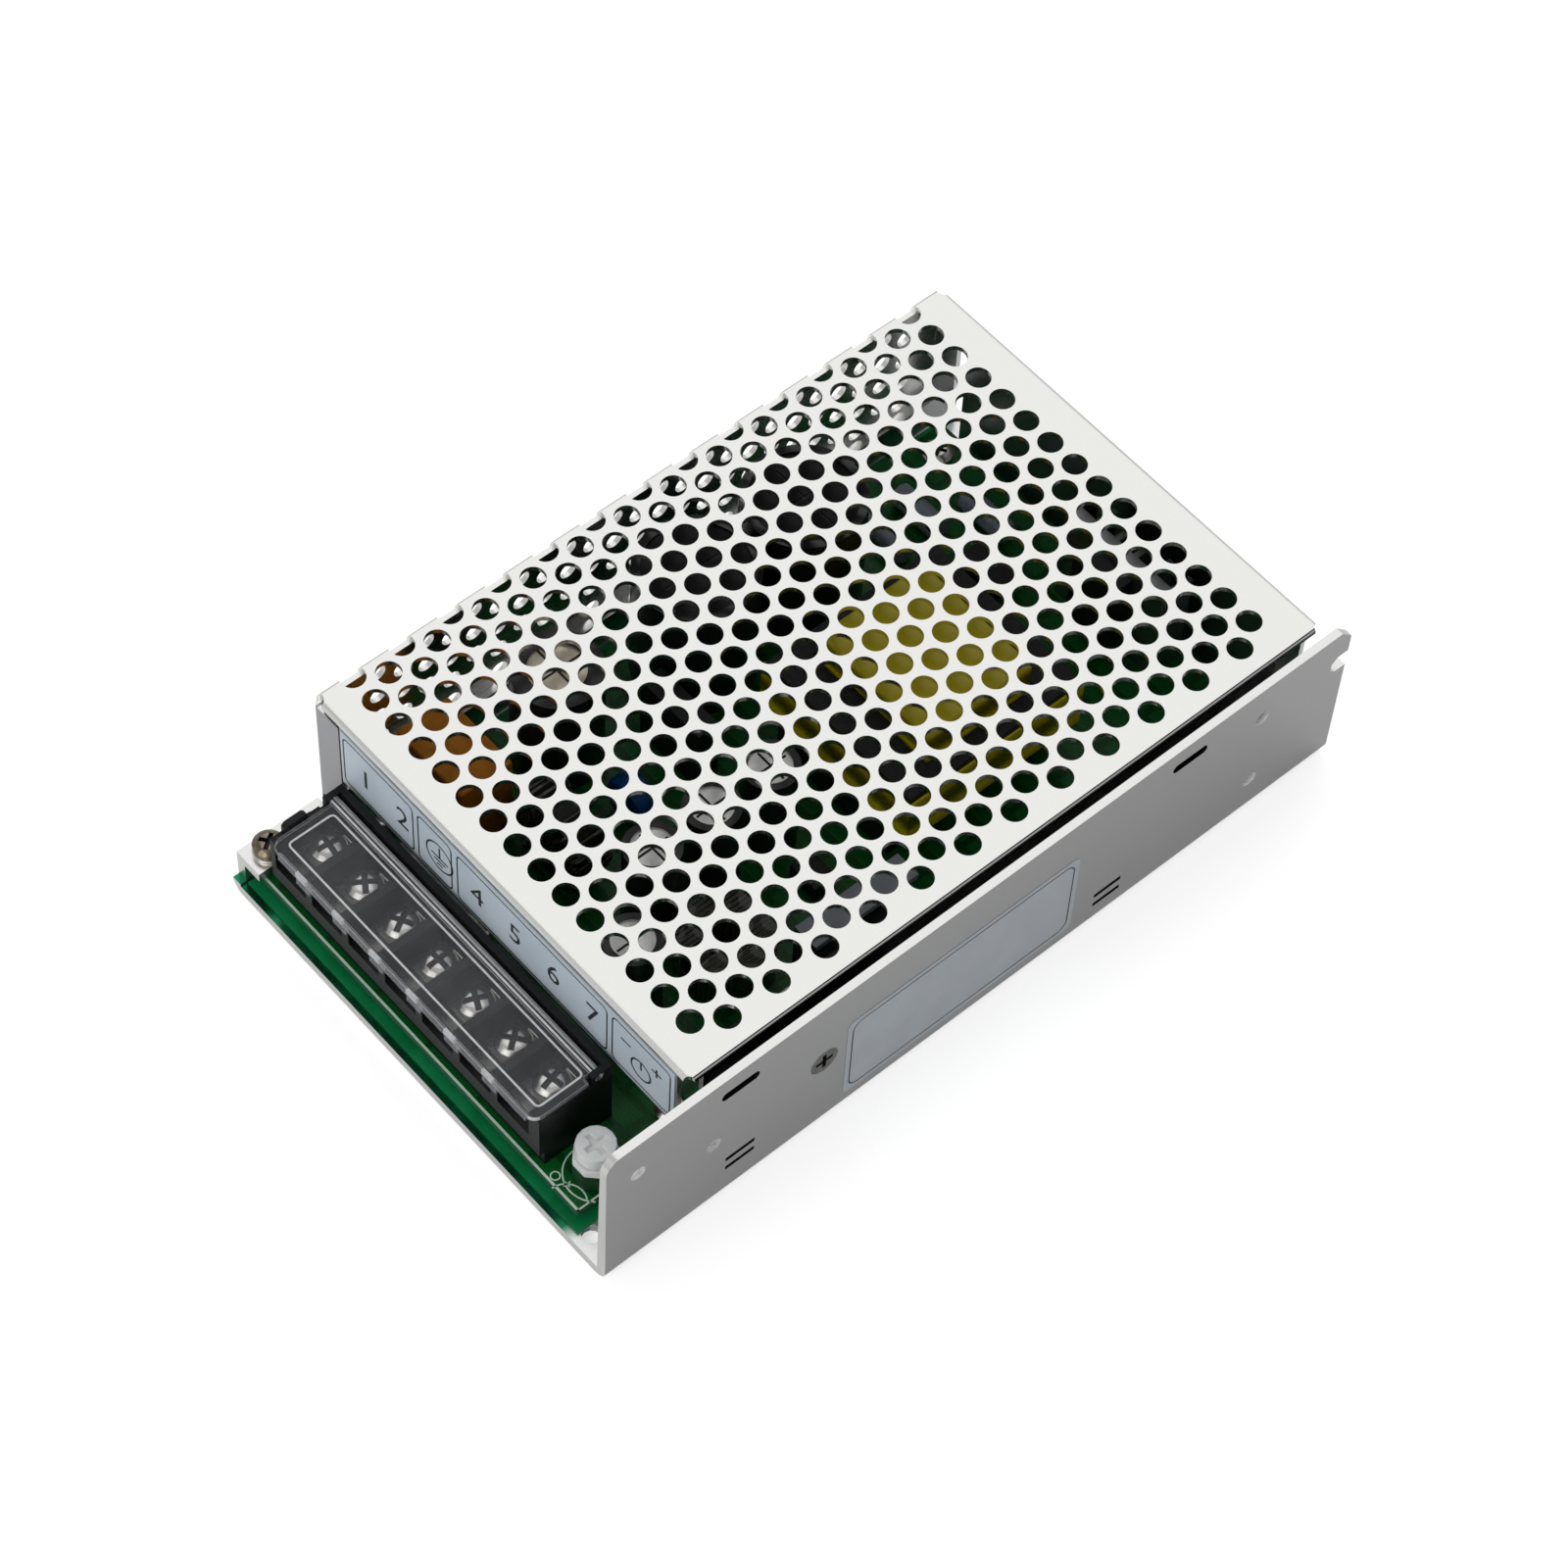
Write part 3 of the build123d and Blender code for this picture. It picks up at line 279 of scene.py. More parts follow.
def clear_finish():
    """Clear moulded plastic: see-through face on, brighter and denser at a slant, its pale grey a painted
    sheen.
    """
    made = Finish("clear_plastic", 0.0, IOR=1.49)
    slant = made.node("ShaderNodeLayerWeight", Blend=0.35)
    cloud = made.noise(6)
    made.colour(made.blend(cloud, screen(150, 151, 154), screen(176, 178, 182)))
    made.spread(cloud, 0.04, 0.1)
    # opacity grows at a slant: painted sheen
    made.spread(slant.outputs["Facing"], 0.04, 0.56, "Alpha")
    made.raise_by(cloud, 0.03)
    return made.material


def wound_finish(name, first, second, pitch, axis, **sockets):
    """Turns of wire or tape side by side along one axis."""
    made = Finish(name, 0.0, **sockets)
    turns = made.node("ShaderNodeTexWave", Scale=0.314 / (pitch * MM), Distortion=0.35, Detail=1.0)
    turns.bands_direction = axis
    made.link(made.place(), turns.inputs["Vector"])
    made.colour(made.blend(turns.outputs["Fac"], screen(*first), screen(*second), 0.1, 0.9))
    made.spread(turns.outputs["Fac"], 0.22, 0.42)
    made.raise_by(turns.outputs["Fac"], pitch * 0.25)
    return made.material


# two tones, roughness from and to, axis of the brush lines
SHEET_METALS = {
    "top_sheet": ((243, 243, 240), (236, 236, 233), (0.2, 0.32), 1),
    # the cover's own sheet, darker on its front and rear flanges: painted shade
    "painted_shade_flange_sheet": ((182, 183, 187), (174, 175, 179), (0.26, 0.4), 0),
    # painted shade: the dark line at the cover's right fold, the lip below it, and the slits in the chassis
    # wall
    "painted_shade_metal": ((64, 64, 66), (48, 48, 50), (0.3, 0.45), 1),
    # painted highlight: the light band on the cover's right fold
    "painted_highlight_metal": ((226, 226, 226), (206, 206, 206), (0.2, 0.3), 1),
    # the chassis metal in a shaded and a lit copy: painted shade on its side faces, painted light on its
    # rim, cut ends and upward faces
    "painted_shade_wall_sheet": ((184, 184, 184), (172, 172, 172), (0.24, 0.36), 1),
    "painted_lit_sheet": ((240, 240, 238), (230, 230, 228), (0.16, 0.28), 1),
    "heatsink": ((176, 178, 180), (160, 162, 165), (0.3, 0.46), 2),
    "spreader": ((120, 124, 128), (96, 100, 104), (0.3, 0.46), 1),
}

# two tones, size of a patch, roughness from and to, size of the grain, depth of the relief, other sockets
PLAIN_SURFACES = {
    # near white: painted light on the rims of the holes in the chassis wall
    "painted_lit_hole_rim": ((250, 250, 250), (238, 238, 238), 0.6, (0.2, 0.35), 0.2, 0.01, {"metallic": 0.3}),
    "bronze": ((150, 138, 120), (112, 100, 84), 0.8, (0.12, 0.24), 0.25, 0.02, {"metallic": 1.0}),
    # dark: painted shade in the cross recesses of screws and in the score lines of can tops
    "recess": ((52, 52, 54), (38, 38, 40), 0.8, (0.4, 0.5), 0.2, 0.01, {"metallic": 0.6}),
    # dark green foot of the trimmer body: painted shadow
    "painted_shadow_trimmer_foot": ((6, 62, 30), (4, 50, 24), 1.5, (0.4, 0.55), 0.3, 0.01, {"Specular_IOR_Level": 0.2}),
    "bright_steel": ((232, 230, 224), (214, 212, 206), 1.2, (0.14, 0.3), 0.25, 0.01, {"metallic": 1.0}),
    "tinned": ((240, 238, 234), (212, 210, 206), 2.0, (0.14, 0.28), 0.3, 0.01, {"metallic": 1.0}),
    "dull_tin": ((120, 119, 116), (96, 95, 92), 1.6, (0.22, 0.36), 0.3, 0.01, {"metallic": 1.0}),
    "black_moulding": (
        (14, 14, 15), (22, 22, 23), 5.0, (0.34, 0.5), 0.3, 0.012, {"Specular_IOR_Level": 0.25}
    ),
    "package": ((18, 18, 19), (26, 26, 27), 3.0, (0.4, 0.56), 0.2, 0.01, {"Specular_IOR_Level": 0.3}),
    "nylon": ((248, 247, 245), (240, 239, 236), 2.0, (0.3, 0.44), 0.3, 0.01, {"Subsurface_Weight": 0.1}),
    "label": ((184, 191, 197), (178, 185, 191), 8.0, (0.34, 0.46), 0.4, 0.003, {"metallic": 0.25}),
    "print_field": ((214, 226, 236), (204, 217, 228), 9.0, (0.36, 0.48), 0.4, 0.002, {}),
    "ink": ((36, 38, 44), (44, 46, 52), 1.5, (0.4, 0.55), 0.2, 0.002, {}),
    "silk": ((232, 252, 234), (212, 238, 216), 1.0, (0.45, 0.6), 0.2, 0.004, {}),
    "ferrite": ((24, 24, 26), (36, 36, 38), 1.2, (0.5, 0.7), 0.3, 0.02, {"Specular_IOR_Level": 0.25}),
    "sleeve": ((20, 20, 22), (28, 28, 31), 4.0, (0.24, 0.36), 0.5, 0.008, {}),
    "can": ((214, 214, 212), (198, 198, 196), 2.0, (0.26, 0.4), 0.25, 0.008, {"metallic": 1.0}),
    "warm_can": ((206, 198, 180), (184, 176, 158), 2.0, (0.26, 0.4), 0.25, 0.008, {"metallic": 0.8}),
    "dark_can": ((16, 16, 17), (10, 10, 11), 2.0, (0.4, 0.55), 0.25, 0.01, {"Specular_IOR_Level": 0.2}),
    "orange_film": ((176, 112, 8), (156, 94, 4), 3.0, (0.35, 0.5), 0.4, 0.01, {"Specular_IOR_Level": 0.15}),
    "blue_disc": ((4, 66, 122), (4, 52, 100), 2.0, (0.3, 0.42), 0.6, 0.02, {"Specular_IOR_Level": 0.2}),
    "green_disc": ((26, 48, 36), (20, 38, 28), 2.0, (0.24, 0.4), 0.6, 0.02, {}),
    "pad": ((150, 152, 150), (138, 140, 138), 1.5, (0.6, 0.75), 0.3, 0.01, {}),
    "film_sheet": ((14, 126, 70), (24, 144, 88), 5.0, (0.18, 0.28), 0.8, 0.01, {"Specular_IOR_Level": 0.3}),
    "fuse_glass": ((206, 210, 208), (192, 196, 194), 3.0, (0.08, 0.14), 0.8, 0.004, {"Alpha": 0.45}),
    "resistor": ((128, 138, 150), (112, 122, 134), 1.6, (0.3, 0.45), 0.3, 0.01, {}),
    "board_edge": ((34, 92, 58), (22, 72, 44), 2.0, (0.35, 0.5), 0.2, 0.01, {}),
    # white: painted highlight on the lid's eased edges, lugs and top line
    "clear_edge": ((248, 249, 250), (226, 229, 232), 1.0, (0.08, 0.2), 0.5, 0.01, {"Alpha": 0.8}),
    "clear_side": ((214, 216, 220), (188, 191, 196), 1.0, (0.05, 0.12), 0.5, 0.01, {"Alpha": 0.3}),
}

# two tones, pitch and axis of the turns, other sockets
WOUND_SURFACES = {
    "tape": ((206, 196, 6), (168, 156, 2), 9.0, "Z", {"Coat_Weight": 0.1, "Specular_IOR_Level": 0.25}),
    "copper": ((150, 74, 30), (196, 112, 52), 0.9, "X", {"Coat_Weight": 0.4}),
    "dark_wire": ((34, 40, 30), (58, 56, 40), 0.9, "X", {"Coat_Weight": 0.4}),
}

FINISHES = {
    "painted_reflection_floor": floor_finish(),
    "board": board_finish(),
    "clear": clear_finish(),
}
for name, values in SHEET_METALS.items():
    FINISHES[name] = sheet_finish(name, *values)
for name, (*values, sockets) in PLAIN_SURFACES.items():
    FINISHES[name] = plain_finish(name, *values, **sockets)
for name, (*values, sockets) in WOUND_SURFACES.items():
    FINISHES[name] = wound_finish(name, *values, **sockets)


# Mesh helpers

def stand(name, data=None):
    """A new object in the scene, at the origin."""
    made = bpy.data.objects.new(name, data)
    bpy.context.scene.collection.objects.link(made)
    return made


@contextmanager
def open_mesh(mesh, start=None):
    """Opens a mesh, or another to start from, for editing, and writes the result to the mesh."""
    bm = bmesh.new()
    bm.from_mesh(start or mesh)
    yield bm
    bm.to_mesh(mesh)
    bm.free()


def add_piece(name, mesh, finish, body="case", replaced=()):
    """Puts a finished mesh in the scene, on its body, standing for the nodes that it replaces."""
    piece = stand(name, mesh)
    finishes = [finish] if isinstance(finish, str) else finish
    kept = [polygon.material_index for polygon in mesh.polygons]
    mesh.materials.clear()
    for each in finishes:
        mesh.materials.append(FINISHES[each])
    mesh.polygons.foreach_set("material_index", [min(index, len(finishes) - 1) for index in kept])
    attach(piece, body)
    if replaced:
        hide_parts(*replaced)


def coat(mesh, choose):
    """Gives each face the finish that its direction and its place, in millimetres, call for."""
    for polygon in mesh.polygons:
        polygon.material_index = choose(polygon.normal, polygon.center / MM)
    return mesh


def bevel(bm, edges, width, segments=2, clamp=True):
    bmesh.ops.bevel(bm, geom=edges, offset=width * MM, segments=segments, profile=0.5, affect="EDGES",
                    clamp_overlap=clamp)


def cut_through(bm, point, direction):
    """Splits the faces that cross a plane, without parting them."""
    everything = [*bm.verts, *bm.edges, *bm.faces]
    bmesh.ops.bisect_plane(bm, geom=everything, plane_co=Vector(point) * MM, plane_no=direction, dist=1e-7)


def sharp_edges(bm, angle=32):
    return [e for e in bm.edges if len(e.link_faces) == 2 and e.calc_face_angle() > math.radians(angle)]


def block_mesh(name, low, high, rounding=0.0, chosen=None, segments=4):
    """A block between two corners in millimetres, with the chosen edges rounded."""
    mesh = bpy.data.meshes.new(name)
    low, high = Vector(low), Vector(high)
    with open_mesh(mesh) as bm:
        bmesh.ops.create_cube(bm, size=1)
        for vertex in bm.verts:
            spans = zip(low, high, vertex.co)
            vertex.co = [((start + stop) / 2 + share * (stop - start)) * MM for start, stop, share in spans]
        if rounding:
            edges = [edge for edge in bm.edges if chosen is None or chosen(edge)]
            bevel(bm, edges, rounding, segments, False)
    return mesh


def rod_mesh(name, radius, low, high):
    """An upright round rod: its axis's place and its two ends in millimetres."""
    mesh = bpy.data.meshes.new(name)
    depth = (high[2] - low[2]) * MM
    with open_mesh(mesh) as bm:
        bmesh.ops.create_cone(
            bm, cap_ends=True, segments=32, radius1=radius * MM, radius2=radius * MM, depth=depth
        )
        bmesh.ops.translate(bm, verts=bm.verts, vec=Vector((low[0], low[1], (low[2] + high[2]) / 2)) * MM)
    return mesh


def joined(name, meshes):
    """Several meshes in one."""
    result = bpy.data.meshes.new(name)
    with open_mesh(result) as bm:
        for mesh in meshes:
            bm.from_mesh(mesh)
    return result


def carved(mesh, cutters):
    """The mesh after each cutter in turn has been taken from it."""
    base = stand("carved", mesh)
    tools = [stand("cutter", cutter) for cutter in cutters]
    for tool in tools:
        step = base.modifiers.new("carve", "BOOLEAN")
        step.operation = "DIFFERENCE"
        step.solver = "MANIFOLD"
        step.object = tool
    result = evaluated_mesh(base)
    for thing in (*tools, base):
        bpy.data.objects.remove(thing)
    return result


def evaluated_mesh(piece):
    """A plain mesh of a piece with its modifiers worked in."""
    bpy.context.view_layer.update()
    return bpy.data.meshes.new_from_object(piece.evaluated_get(bpy.context.evaluated_depsgraph_get()))


def shade(mesh, angle=32):
    """Smooth shading with creases at sharp edges, where large faces keep their own direction."""
    mesh.shade_smooth()
    mesh.set_sharp_from_angle(angle=math.radians(angle))
    piece = stand("shaded", mesh)
    piece.modifiers.new("weigh", "WEIGHTED_NORMAL").keep_sharp = True
    result = evaluated_mesh(piece)
    bpy.data.objects.remove(piece)
    return result


def eased(node, width):
    """A copy of a CAD node's mesh with its doubles merged and its sharp edges eased by a small width."""
    mesh = bpy.data.meshes.new(node + "_eased")
    with open_mesh(mesh, nodes[node].data) as bm:
        bmesh.ops.remove_doubles(bm, verts=bm.verts, dist=1e-6)
        bmesh.ops.dissolve_limit(bm, angle_limit=math.radians(1), verts=bm.verts, edges=bm.edges)
        if width:
            bevel(bm, sharp_edges(bm), width)
    return mesh


def refined(node, finish, width, body="case", choose=None, split_z=None):
    """A CAD node with eased edges, in one finish or in several by face, split at a height if asked."""
    mesh = shade(eased(node, width))
    if split_z:
        with open_mesh(mesh) as bm:
            cut_through(bm, (0, 0, split_z), (0, 0, 1))
    if choose:
        coat(mesh, choose)
    add_piece(node + "_finished", mesh, finish, body, [node])


# Trees that make what repeats

class Nodes:
    """Short calls for building a Geometry Nodes tree, whose inputs are listed by kind."""

    def __init__(self, name, **inputs):
        self.tree = bpy.data.node_groups.new(name, "GeometryNodeTree")
        self.tree.interface.new_socket("Geometry", in_out="INPUT", socket_type="NodeSocketGeometry")
        self.tree.interface.new_socket("Geometry", in_out="OUTPUT", socket_type="NodeSocketGeometry")
        self.identifiers = {}
        for kind, labels in inputs.items():
            for label in labels:
                type_name = "NodeSocket" + kind
                socket = self.tree.interface.new_socket(label, in_out="INPUT", socket_type=type_name)
                self.identifiers[label] = socket.identifier
        self.source = self.tree.nodes.new("NodeGroupInput")
        self.target = self.tree.nodes.new("NodeGroupOutput")

    def __getitem__(self, label):
        """One of the tree's inputs."""
        return self.source.outputs[label]

    def add(self, kind, wired=None, **values):
        made = self.tree.nodes.new(kind)
        for name, value in values.items():
            setattr(made, name, value)
        for key, value in (wired or {}).items():
            socket = made.inputs[key]
            if isinstance(value, bpy.types.NodeSocket):
                self.tree.links.new(value, socket)
            else:
                socket.default_value = value
        return made

    def shape(self, kind, wired=None, **values):
        """What a Geometry node gives."""
        return self.add("GeometryNode" + kind, wired, **values).outputs[0]

    def maths(self, operation, first, second=0.0):
        return self.add("ShaderNodeMath", {0: first, 1: second}, operation=operation).outputs[0]

    def times(self, first, second):
        return self.maths("MULTIPLY", first, second)

    def above(self, first, second):
        return self.add("FunctionNodeCompare", {0: first, 1: second}, operation="GREATER_THAN").outputs[0]

    def vector(self, x=0.0, y=0.0, z=0.0):
        return self.add("ShaderNodeCombineXYZ", {0: x, 1: y, 2: z}).outputs[0]

    def parts(self, vector):
        return self.add("ShaderNodeSeparateXYZ", {0: vector}).outputs

    def moved(self, geometry, offset, turn=(0, 0, 0)):
        return self.shape("Transform", {"Geometry": geometry, "Translation": offset, "Rotation": turn})

    def set_at_points(self, geometry, turn=(0, 0, 0)):
        """The geometry at each loose point that the tree is run on."""
        spots = self.shape("MeshToPoints", {"Mesh": self.source.outputs[0]})
        return self.shape("InstanceOnPoints", {"Points": spots, "Instance": geometry, "Rotation": turn})

    def end(self, geometry, finish):
        whole = self.shape("RealizeInstances", {"Geometry": geometry})
        coated = self.shape("SetMaterial", {"Geometry": whole, "Material": FINISHES[finish]})
        self.tree.links.new(coated, self.target.inputs[0])


def run_tree(builder, name, mesh, values):
    """Runs a tree on a mesh with its inputs set, and gives back the plain mesh."""
    piece = stand(name, mesh)
    step = piece.modifiers.new(name, "NODES")
    step.node_group = builder.tree
    for label, value in values.items():
        step[builder.identifiers[label]] = value
    result = evaluated_mesh(piece)
    result.name = name
    bpy.data.objects.remove(piece)
    return result


def places_mesh(places):
    """Loose points, in millimetres."""
    mesh = bpy.data.meshes.new("places")
    mesh.from_pydata([Vector(place) * MM for place in places], [], [])
    return mesh


# Perforated cover

def perforation_tree():
    """Punches a staggered field of round holes through a sheet."""
    n = Nodes(
        "perforation",
        Float=("Pitch Along", "Pitch Across", "Radius", "Depth", "Last Hole"),
        Int=("Holes In Row", "Rows", "Sides"),
        Vector=("Corner", "Turn"),
    )
    columns = n["Holes In Row"]
    line = n.shape("MeshLine", {"Count": n.times(columns, n["Rows"])})
    index = n.shape("InputIndex")
    row = n.maths("FLOOR", n.maths("DIVIDE", index, columns))
    column = n.maths("MODULO", index, columns)
    stagger = n.times(n.maths("MODULO", row, 2.0), 0.5)
    along = n.times(n.maths("ADD", column, stagger), n["Pitch Along"])
    place = n.vector(along, n.times(row, n["Pitch Across"]))
    spots = n.shape("SetPosition", {"Geometry": line, "Position": place})
    beyond = n.above(along, n["Last Hole"])
    spots = n.shape("DeleteGeometry", {"Geometry": spots, "Selection": beyond})
    punch = n.shape("MeshCylinder", {
        "Vertices": n["Sides"], "Radius": n["Radius"], "Depth": n["Depth"],
    })
    punches = n.shape("InstanceOnPoints", {"Points": spots, "Instance": punch})
    punches = n.shape("RealizeInstances", {"Geometry": punches})
    punches = n.moved(punches, n["Corner"], n["Turn"])
    n.end(n.shape("MeshBoolean", {0: n.source.outputs[0], 1: punches}, solver="MANIFOLD"), "top_sheet")
    return n


def cover_shell():
    """The folded sheet before it is punched: top, left side, lip and turned-in flanges."""
    def ends(edge):
        return [vertex.co / MM for vertex in edge.verts]

    def folded(edge):
        a, b = ends(edge)
        at_top = min(a.z, b.z) > COVER_HIGH.z - 2
        upright_left = max(a.x, b.x) < COVER_LOW.x + 2 and abs(a.y - b.y) < 1
        return at_top or upright_left

    def right_fold(edge):
        a, b = ends(edge)
        return min(a.x, b.x) > COVER_HIGH.x - 0.1 and min(a.z, b.z) > COVER_HIGH.z - 0.1

    def other_folds(edge):
        return folded(edge) and not right_fold(edge)

    outer = block_mesh("outer", COVER_LOW, COVER_HIGH, LEFT_FOLD, other_folds)
    with open_mesh(outer) as bm:
        bevel(bm, [edge for edge in bm.edges if right_fold(edge)], RIGHT_FOLD, 5, False)
    inner_low = Vector((COVER_LOW.x + SHEET, COVER_LOW.y + SHEET, COVER_LOW.z - 5))
    inner_high = Vector((COVER_HIGH.x - SHEET, COVER_HIGH.y - SHEET, TOP_UNDER_Z))
    inner = block_mesh("inner", inner_low, inner_high, 0.25, folded, 2)
    reach = 3.0
    front, rear, right, left = COVER_LOW.y, COVER_HIGH.y, COVER_HIGH.x, COVER_LOW.x
    # round the lip on the right
    open_areas = [
        ((right - SHEET, front - reach, -reach), (right + reach, rear + reach, RIGHT_LIP_BOTTOM_Z)),
        ((right - SHEET, front - reach, -reach), (right + reach, RIGHT_LIP_Y[0], TOP_UNDER_Z)),
        ((right - SHEET, RIGHT_LIP_Y[1], -reach), (right + reach, rear + reach, TOP_UNDER_Z)),
    ]
    # below and beside the front and the rear flange
    front_flange = (front - reach, front + SHEET, FLANGE_LEFT_X, FRONT_FLANGE_BOTTOM_Z)
    rear_flange = (rear - SHEET, rear + reach, REAR_FLANGE_LEFT_X, REAR_FLANGE_BOTTOM_Z)
    for near, far, flange_left, flange_bottom in (front_flange, rear_flange):
        open_areas += [
            ((SIDE_FLANGE_RIGHT_X, near, -reach), (flange_left, far, TOP_UNDER_Z)),
            ((flange_left, near, -reach), (FLANGE_RIGHT_X, far, flange_bottom)),
            ((FLANGE_RIGHT_X, near, -reach), (right + reach, far, TOP_UNDER_Z)),
            ((left + SHEET, near, -reach), (SIDE_FLANGE_RIGHT_X, far, SIDE_FLANGE_BOTTOM_Z)),
            ((left + SHEET, near, TOP_UNDER_Z - SHEET), (SIDE_FLANGE_RIGHT_X, far, TOP_UNDER_Z)),
        ]
    cutters = [inner, *(block_mesh("open", low, high) for low, high in open_areas)]
    for x in (left + SHEET, right):
        for y in (front, rear):
            low, high = (x, y, TOP_UNDER_Z - 0.6), (x, y, COVER_HIGH.z + 1)
            cutters.append(rod_mesh("relief", FOLD_RELIEF, low, high))
    for _, y, z in COVER_SCREWS_AT:
        hole = rod_mesh("screw_hole", COVER_SCREW[0] + SCREW_HOLE_ROOM, (0, 0, -reach), (0, 0, reach))
        hole.transform(Matrix.Translation(Vector((left, y, z)) * MM) @ Matrix.Rotation(math.pi / 2, 4, "Y"))
        cutters.append(hole)
    return carved(outer, cutters)


def make_cover():
    punch = perforation_tree()
    shell = run_tree(punch, "punched_top", cover_shell(), {
        "Pitch Along": HOLE_PITCH[0] * MM, "Pitch Across": HOLE_PITCH[1] * MM,
        "Holes In Row": 15, "Rows": 25, "Last Hole": WHOLE_LENGTH * MM,
        "Radius": HOLE_RADIUS * MM, "Depth": 3.2 * MM, "Sides": 24,
        "Corner": Vector((*FIRST_HOLE, COVER_HIGH.z)) * MM, "Turn": Vector((0, 0, 0)),
    })
    shell = run_tree(punch, "cover_sheet", shell, {
        "Pitch Along": 2 * HOLE_PITCH[1] * MM, "Pitch Across": HOLE_PITCH[0] / 2 * MM,
        "Holes In Row": 13, "Rows": 8, "Last Hole": SIDE_FIELD_LENGTH * MM,
        "Radius": SIDE_HOLE_RADIUS * MM, "Depth": 4 * MM, "Sides": 16,
        "Corner": Vector((COVER_LOW.x, FIRST_HOLE[1], SIDE_FIELD_Z)) * MM,
        "Turn": Vector((math.pi / 2, 0, math.pi / 2)),
    })

    def face_kind(normal, centre):
        in_flange = min(centre.y - COVER_LOW.y, COVER_HIGH.y - centre.y) < 1.5
        # front and rear flanges: the darker copy of the sheet, painted shade
        if abs(normal.y) > 0.7 and centre.z < TOP_UNDER_Z and in_flange:
            return 1
        # right fold and lip: painted highlight on the steeper part of the rounding, painted shade on its
        # flatter top and on the upright lip
        if centre.x > COVER_HIGH.x - 0.9 and normal.x > 0.3 and centre.z > RIGHT_LIP_BOTTOM_Z:
            return 3 if 0.6 < normal.x < 0.97 else 2
        return 0

    kinds = ("top_sheet", "painted_shade_flange_sheet", "painted_shade_metal", "painted_highlight_metal")
    add_piece("cover_sheet", coat(shade(shell), face_kind), kinds, replaced=["cover"])


# Screws

def screw_tree():
    """A pan head with a domed top, a cross recess and a shank, head upwards, seated on each point."""
    n = Nodes(
        "pan_head_screw",
        Float=("Head Radius", "Head Height", "Dome", "Shank Radius", "Shank Length", "Recess Length",
               "Recess Width", "Recess Depth"),
        Vector=("Turn",),
    )
    height = n["Head Height"]
    blank = n.shape("MeshCylinder", {
        "Vertices": 32, "Side Segments": 2, "Fill Segments": 5, "Radius": n["Head Radius"],
        "Depth": height,
    })
    x, y, z = n.parts(n.shape("InputPosition"))
    reach = n.maths("ADD", n.maths("POWER", x, 2.0), n.maths("POWER", y, 2.0))
    share = n.maths("DIVIDE", reach, n.maths("POWER", n["Head Radius"], 2.0))
    drop = n.times(n.times(n.maths("POWER", share, 2.0), n["Dome"]), -1.0)
    blank = n.shape("SetPosition", {
        "Geometry": blank, "Selection": n.above(z, 0.00001), "Offset": n.vector(z=drop),
    })
    half = n.times(height, 0.5)
    depth = n.times(n["Recess Depth"], 2.0)
    carve = n.add("GeometryNodeMeshBoolean", {0: blank}, solver="EXACT")
    for first, second in (("Recess Length", "Recess Width"), ("Recess Width", "Recess Length")):
        bar = n.shape("MeshCube", {"Size": n.vector(n[first], n[second], depth)})
        n.tree.links.new(n.moved(bar, n.vector(z=half)), carve.inputs[1])
    shank = n.shape("MeshCylinder", {
        "Vertices": 16, "Radius": n["Shank Radius"], "Depth": n["Shank Length"],
    })
    below = n.times(n.maths("ADD", n["Shank Length"], height), -0.5)
    whole = n.add("GeometryNodeJoinGeometry", {0: carve.outputs[0]})
    n.tree.links.new(n.moved(shank, n.vector(z=below)), whole.inputs[0])
    seated = n.moved(whole.outputs[0], n.vector(z=half))
    n.end(n.set_at_points(seated, n["Turn"]), "bright_steel")
    return n


def make_screws(tree, name, places, replaced, sizes, finish, body="case", turn=(0, 0, 0.6)):
    """Screws of one kind at their places."""
    head_radius, head_height, shank_radius, shank_length, recess = sizes
    mesh = run_tree(tree, name, places_mesh(places), {
        "Head Radius": head_radius * MM, "Head Height": head_height * MM, "Dome": 0.4 * head_height * MM,
        "Shank Radius": shank_radius * MM, "Shank Length": shank_length * MM, "Recess Length": recess * MM,
        "Recess Width": 0.24 * recess * MM, "Recess Depth": 0.5 * head_height * MM, "Turn": Vector(turn),
    })
    axis = Euler(turn).to_matrix() @ Vector((0, 0, 1))

    def face_kind(normal, centre):
        offset = min((centre - Vector(place) for place in places), key=lambda gap: gap.length)
        height = offset.dot(axis)
        reach = (offset - height * axis).length
        level = height / head_height
        # faces of the cross recess take the dark finish: painted shade
        in_cross = reach < 0.51 * recess and (level < 0.55 or abs(normal.dot(axis)) < 0.5)
        return int(in_cross and level > 0.2 and reach < 0.9 * head_radius)

    add_piece(name, coat(shade(mesh, 38), face_kind), (finish, "recess"), body, [replaced])


def make_all_screws():
    tree = screw_tree()
    for way in range(1, WAYS + 1):
        spot = Vector((FIRST_WAY_X + WAY_PITCH * (way - 1), SCREW_Y, WASHER_TOP_Z))
        make_screws(tree, f"terminal_screw_{way}_finished", [spot], f"terminal_screw_{way}", TERMINAL_SCREW,
                    "tinned", f"screw_{way}", (0, 0, 0.35 + 1.1 * way))
        refined(f"terminal_washer_{way}", "dull_tin", 0.22, f"washer_{way}")
        lip = block_mesh("lip", *(spot + Vector(corner) for corner in WASHER_LIP), 0.12)
        add_piece(f"washer_lip_{way}", shade(lip), "tinned", f"washer_{way}")
    make_screws(tree, "board_screws_finished", BOARD_SCREWS_AT, "board_screws", BOARD_SCREW, "bright_steel")
    make_screws(tree, "earth_screw_finished", [EARTH_SCREW_AT], "earth_screw", EARTH_SCREW, "bronze")
    make_screws(tree, "cover_screws_finished", COVER_SCREWS_AT, "cover_screws", COVER_SCREW, "bright_steel",
                turn=(0, -math.pi / 2, 0))


# Cans and windings

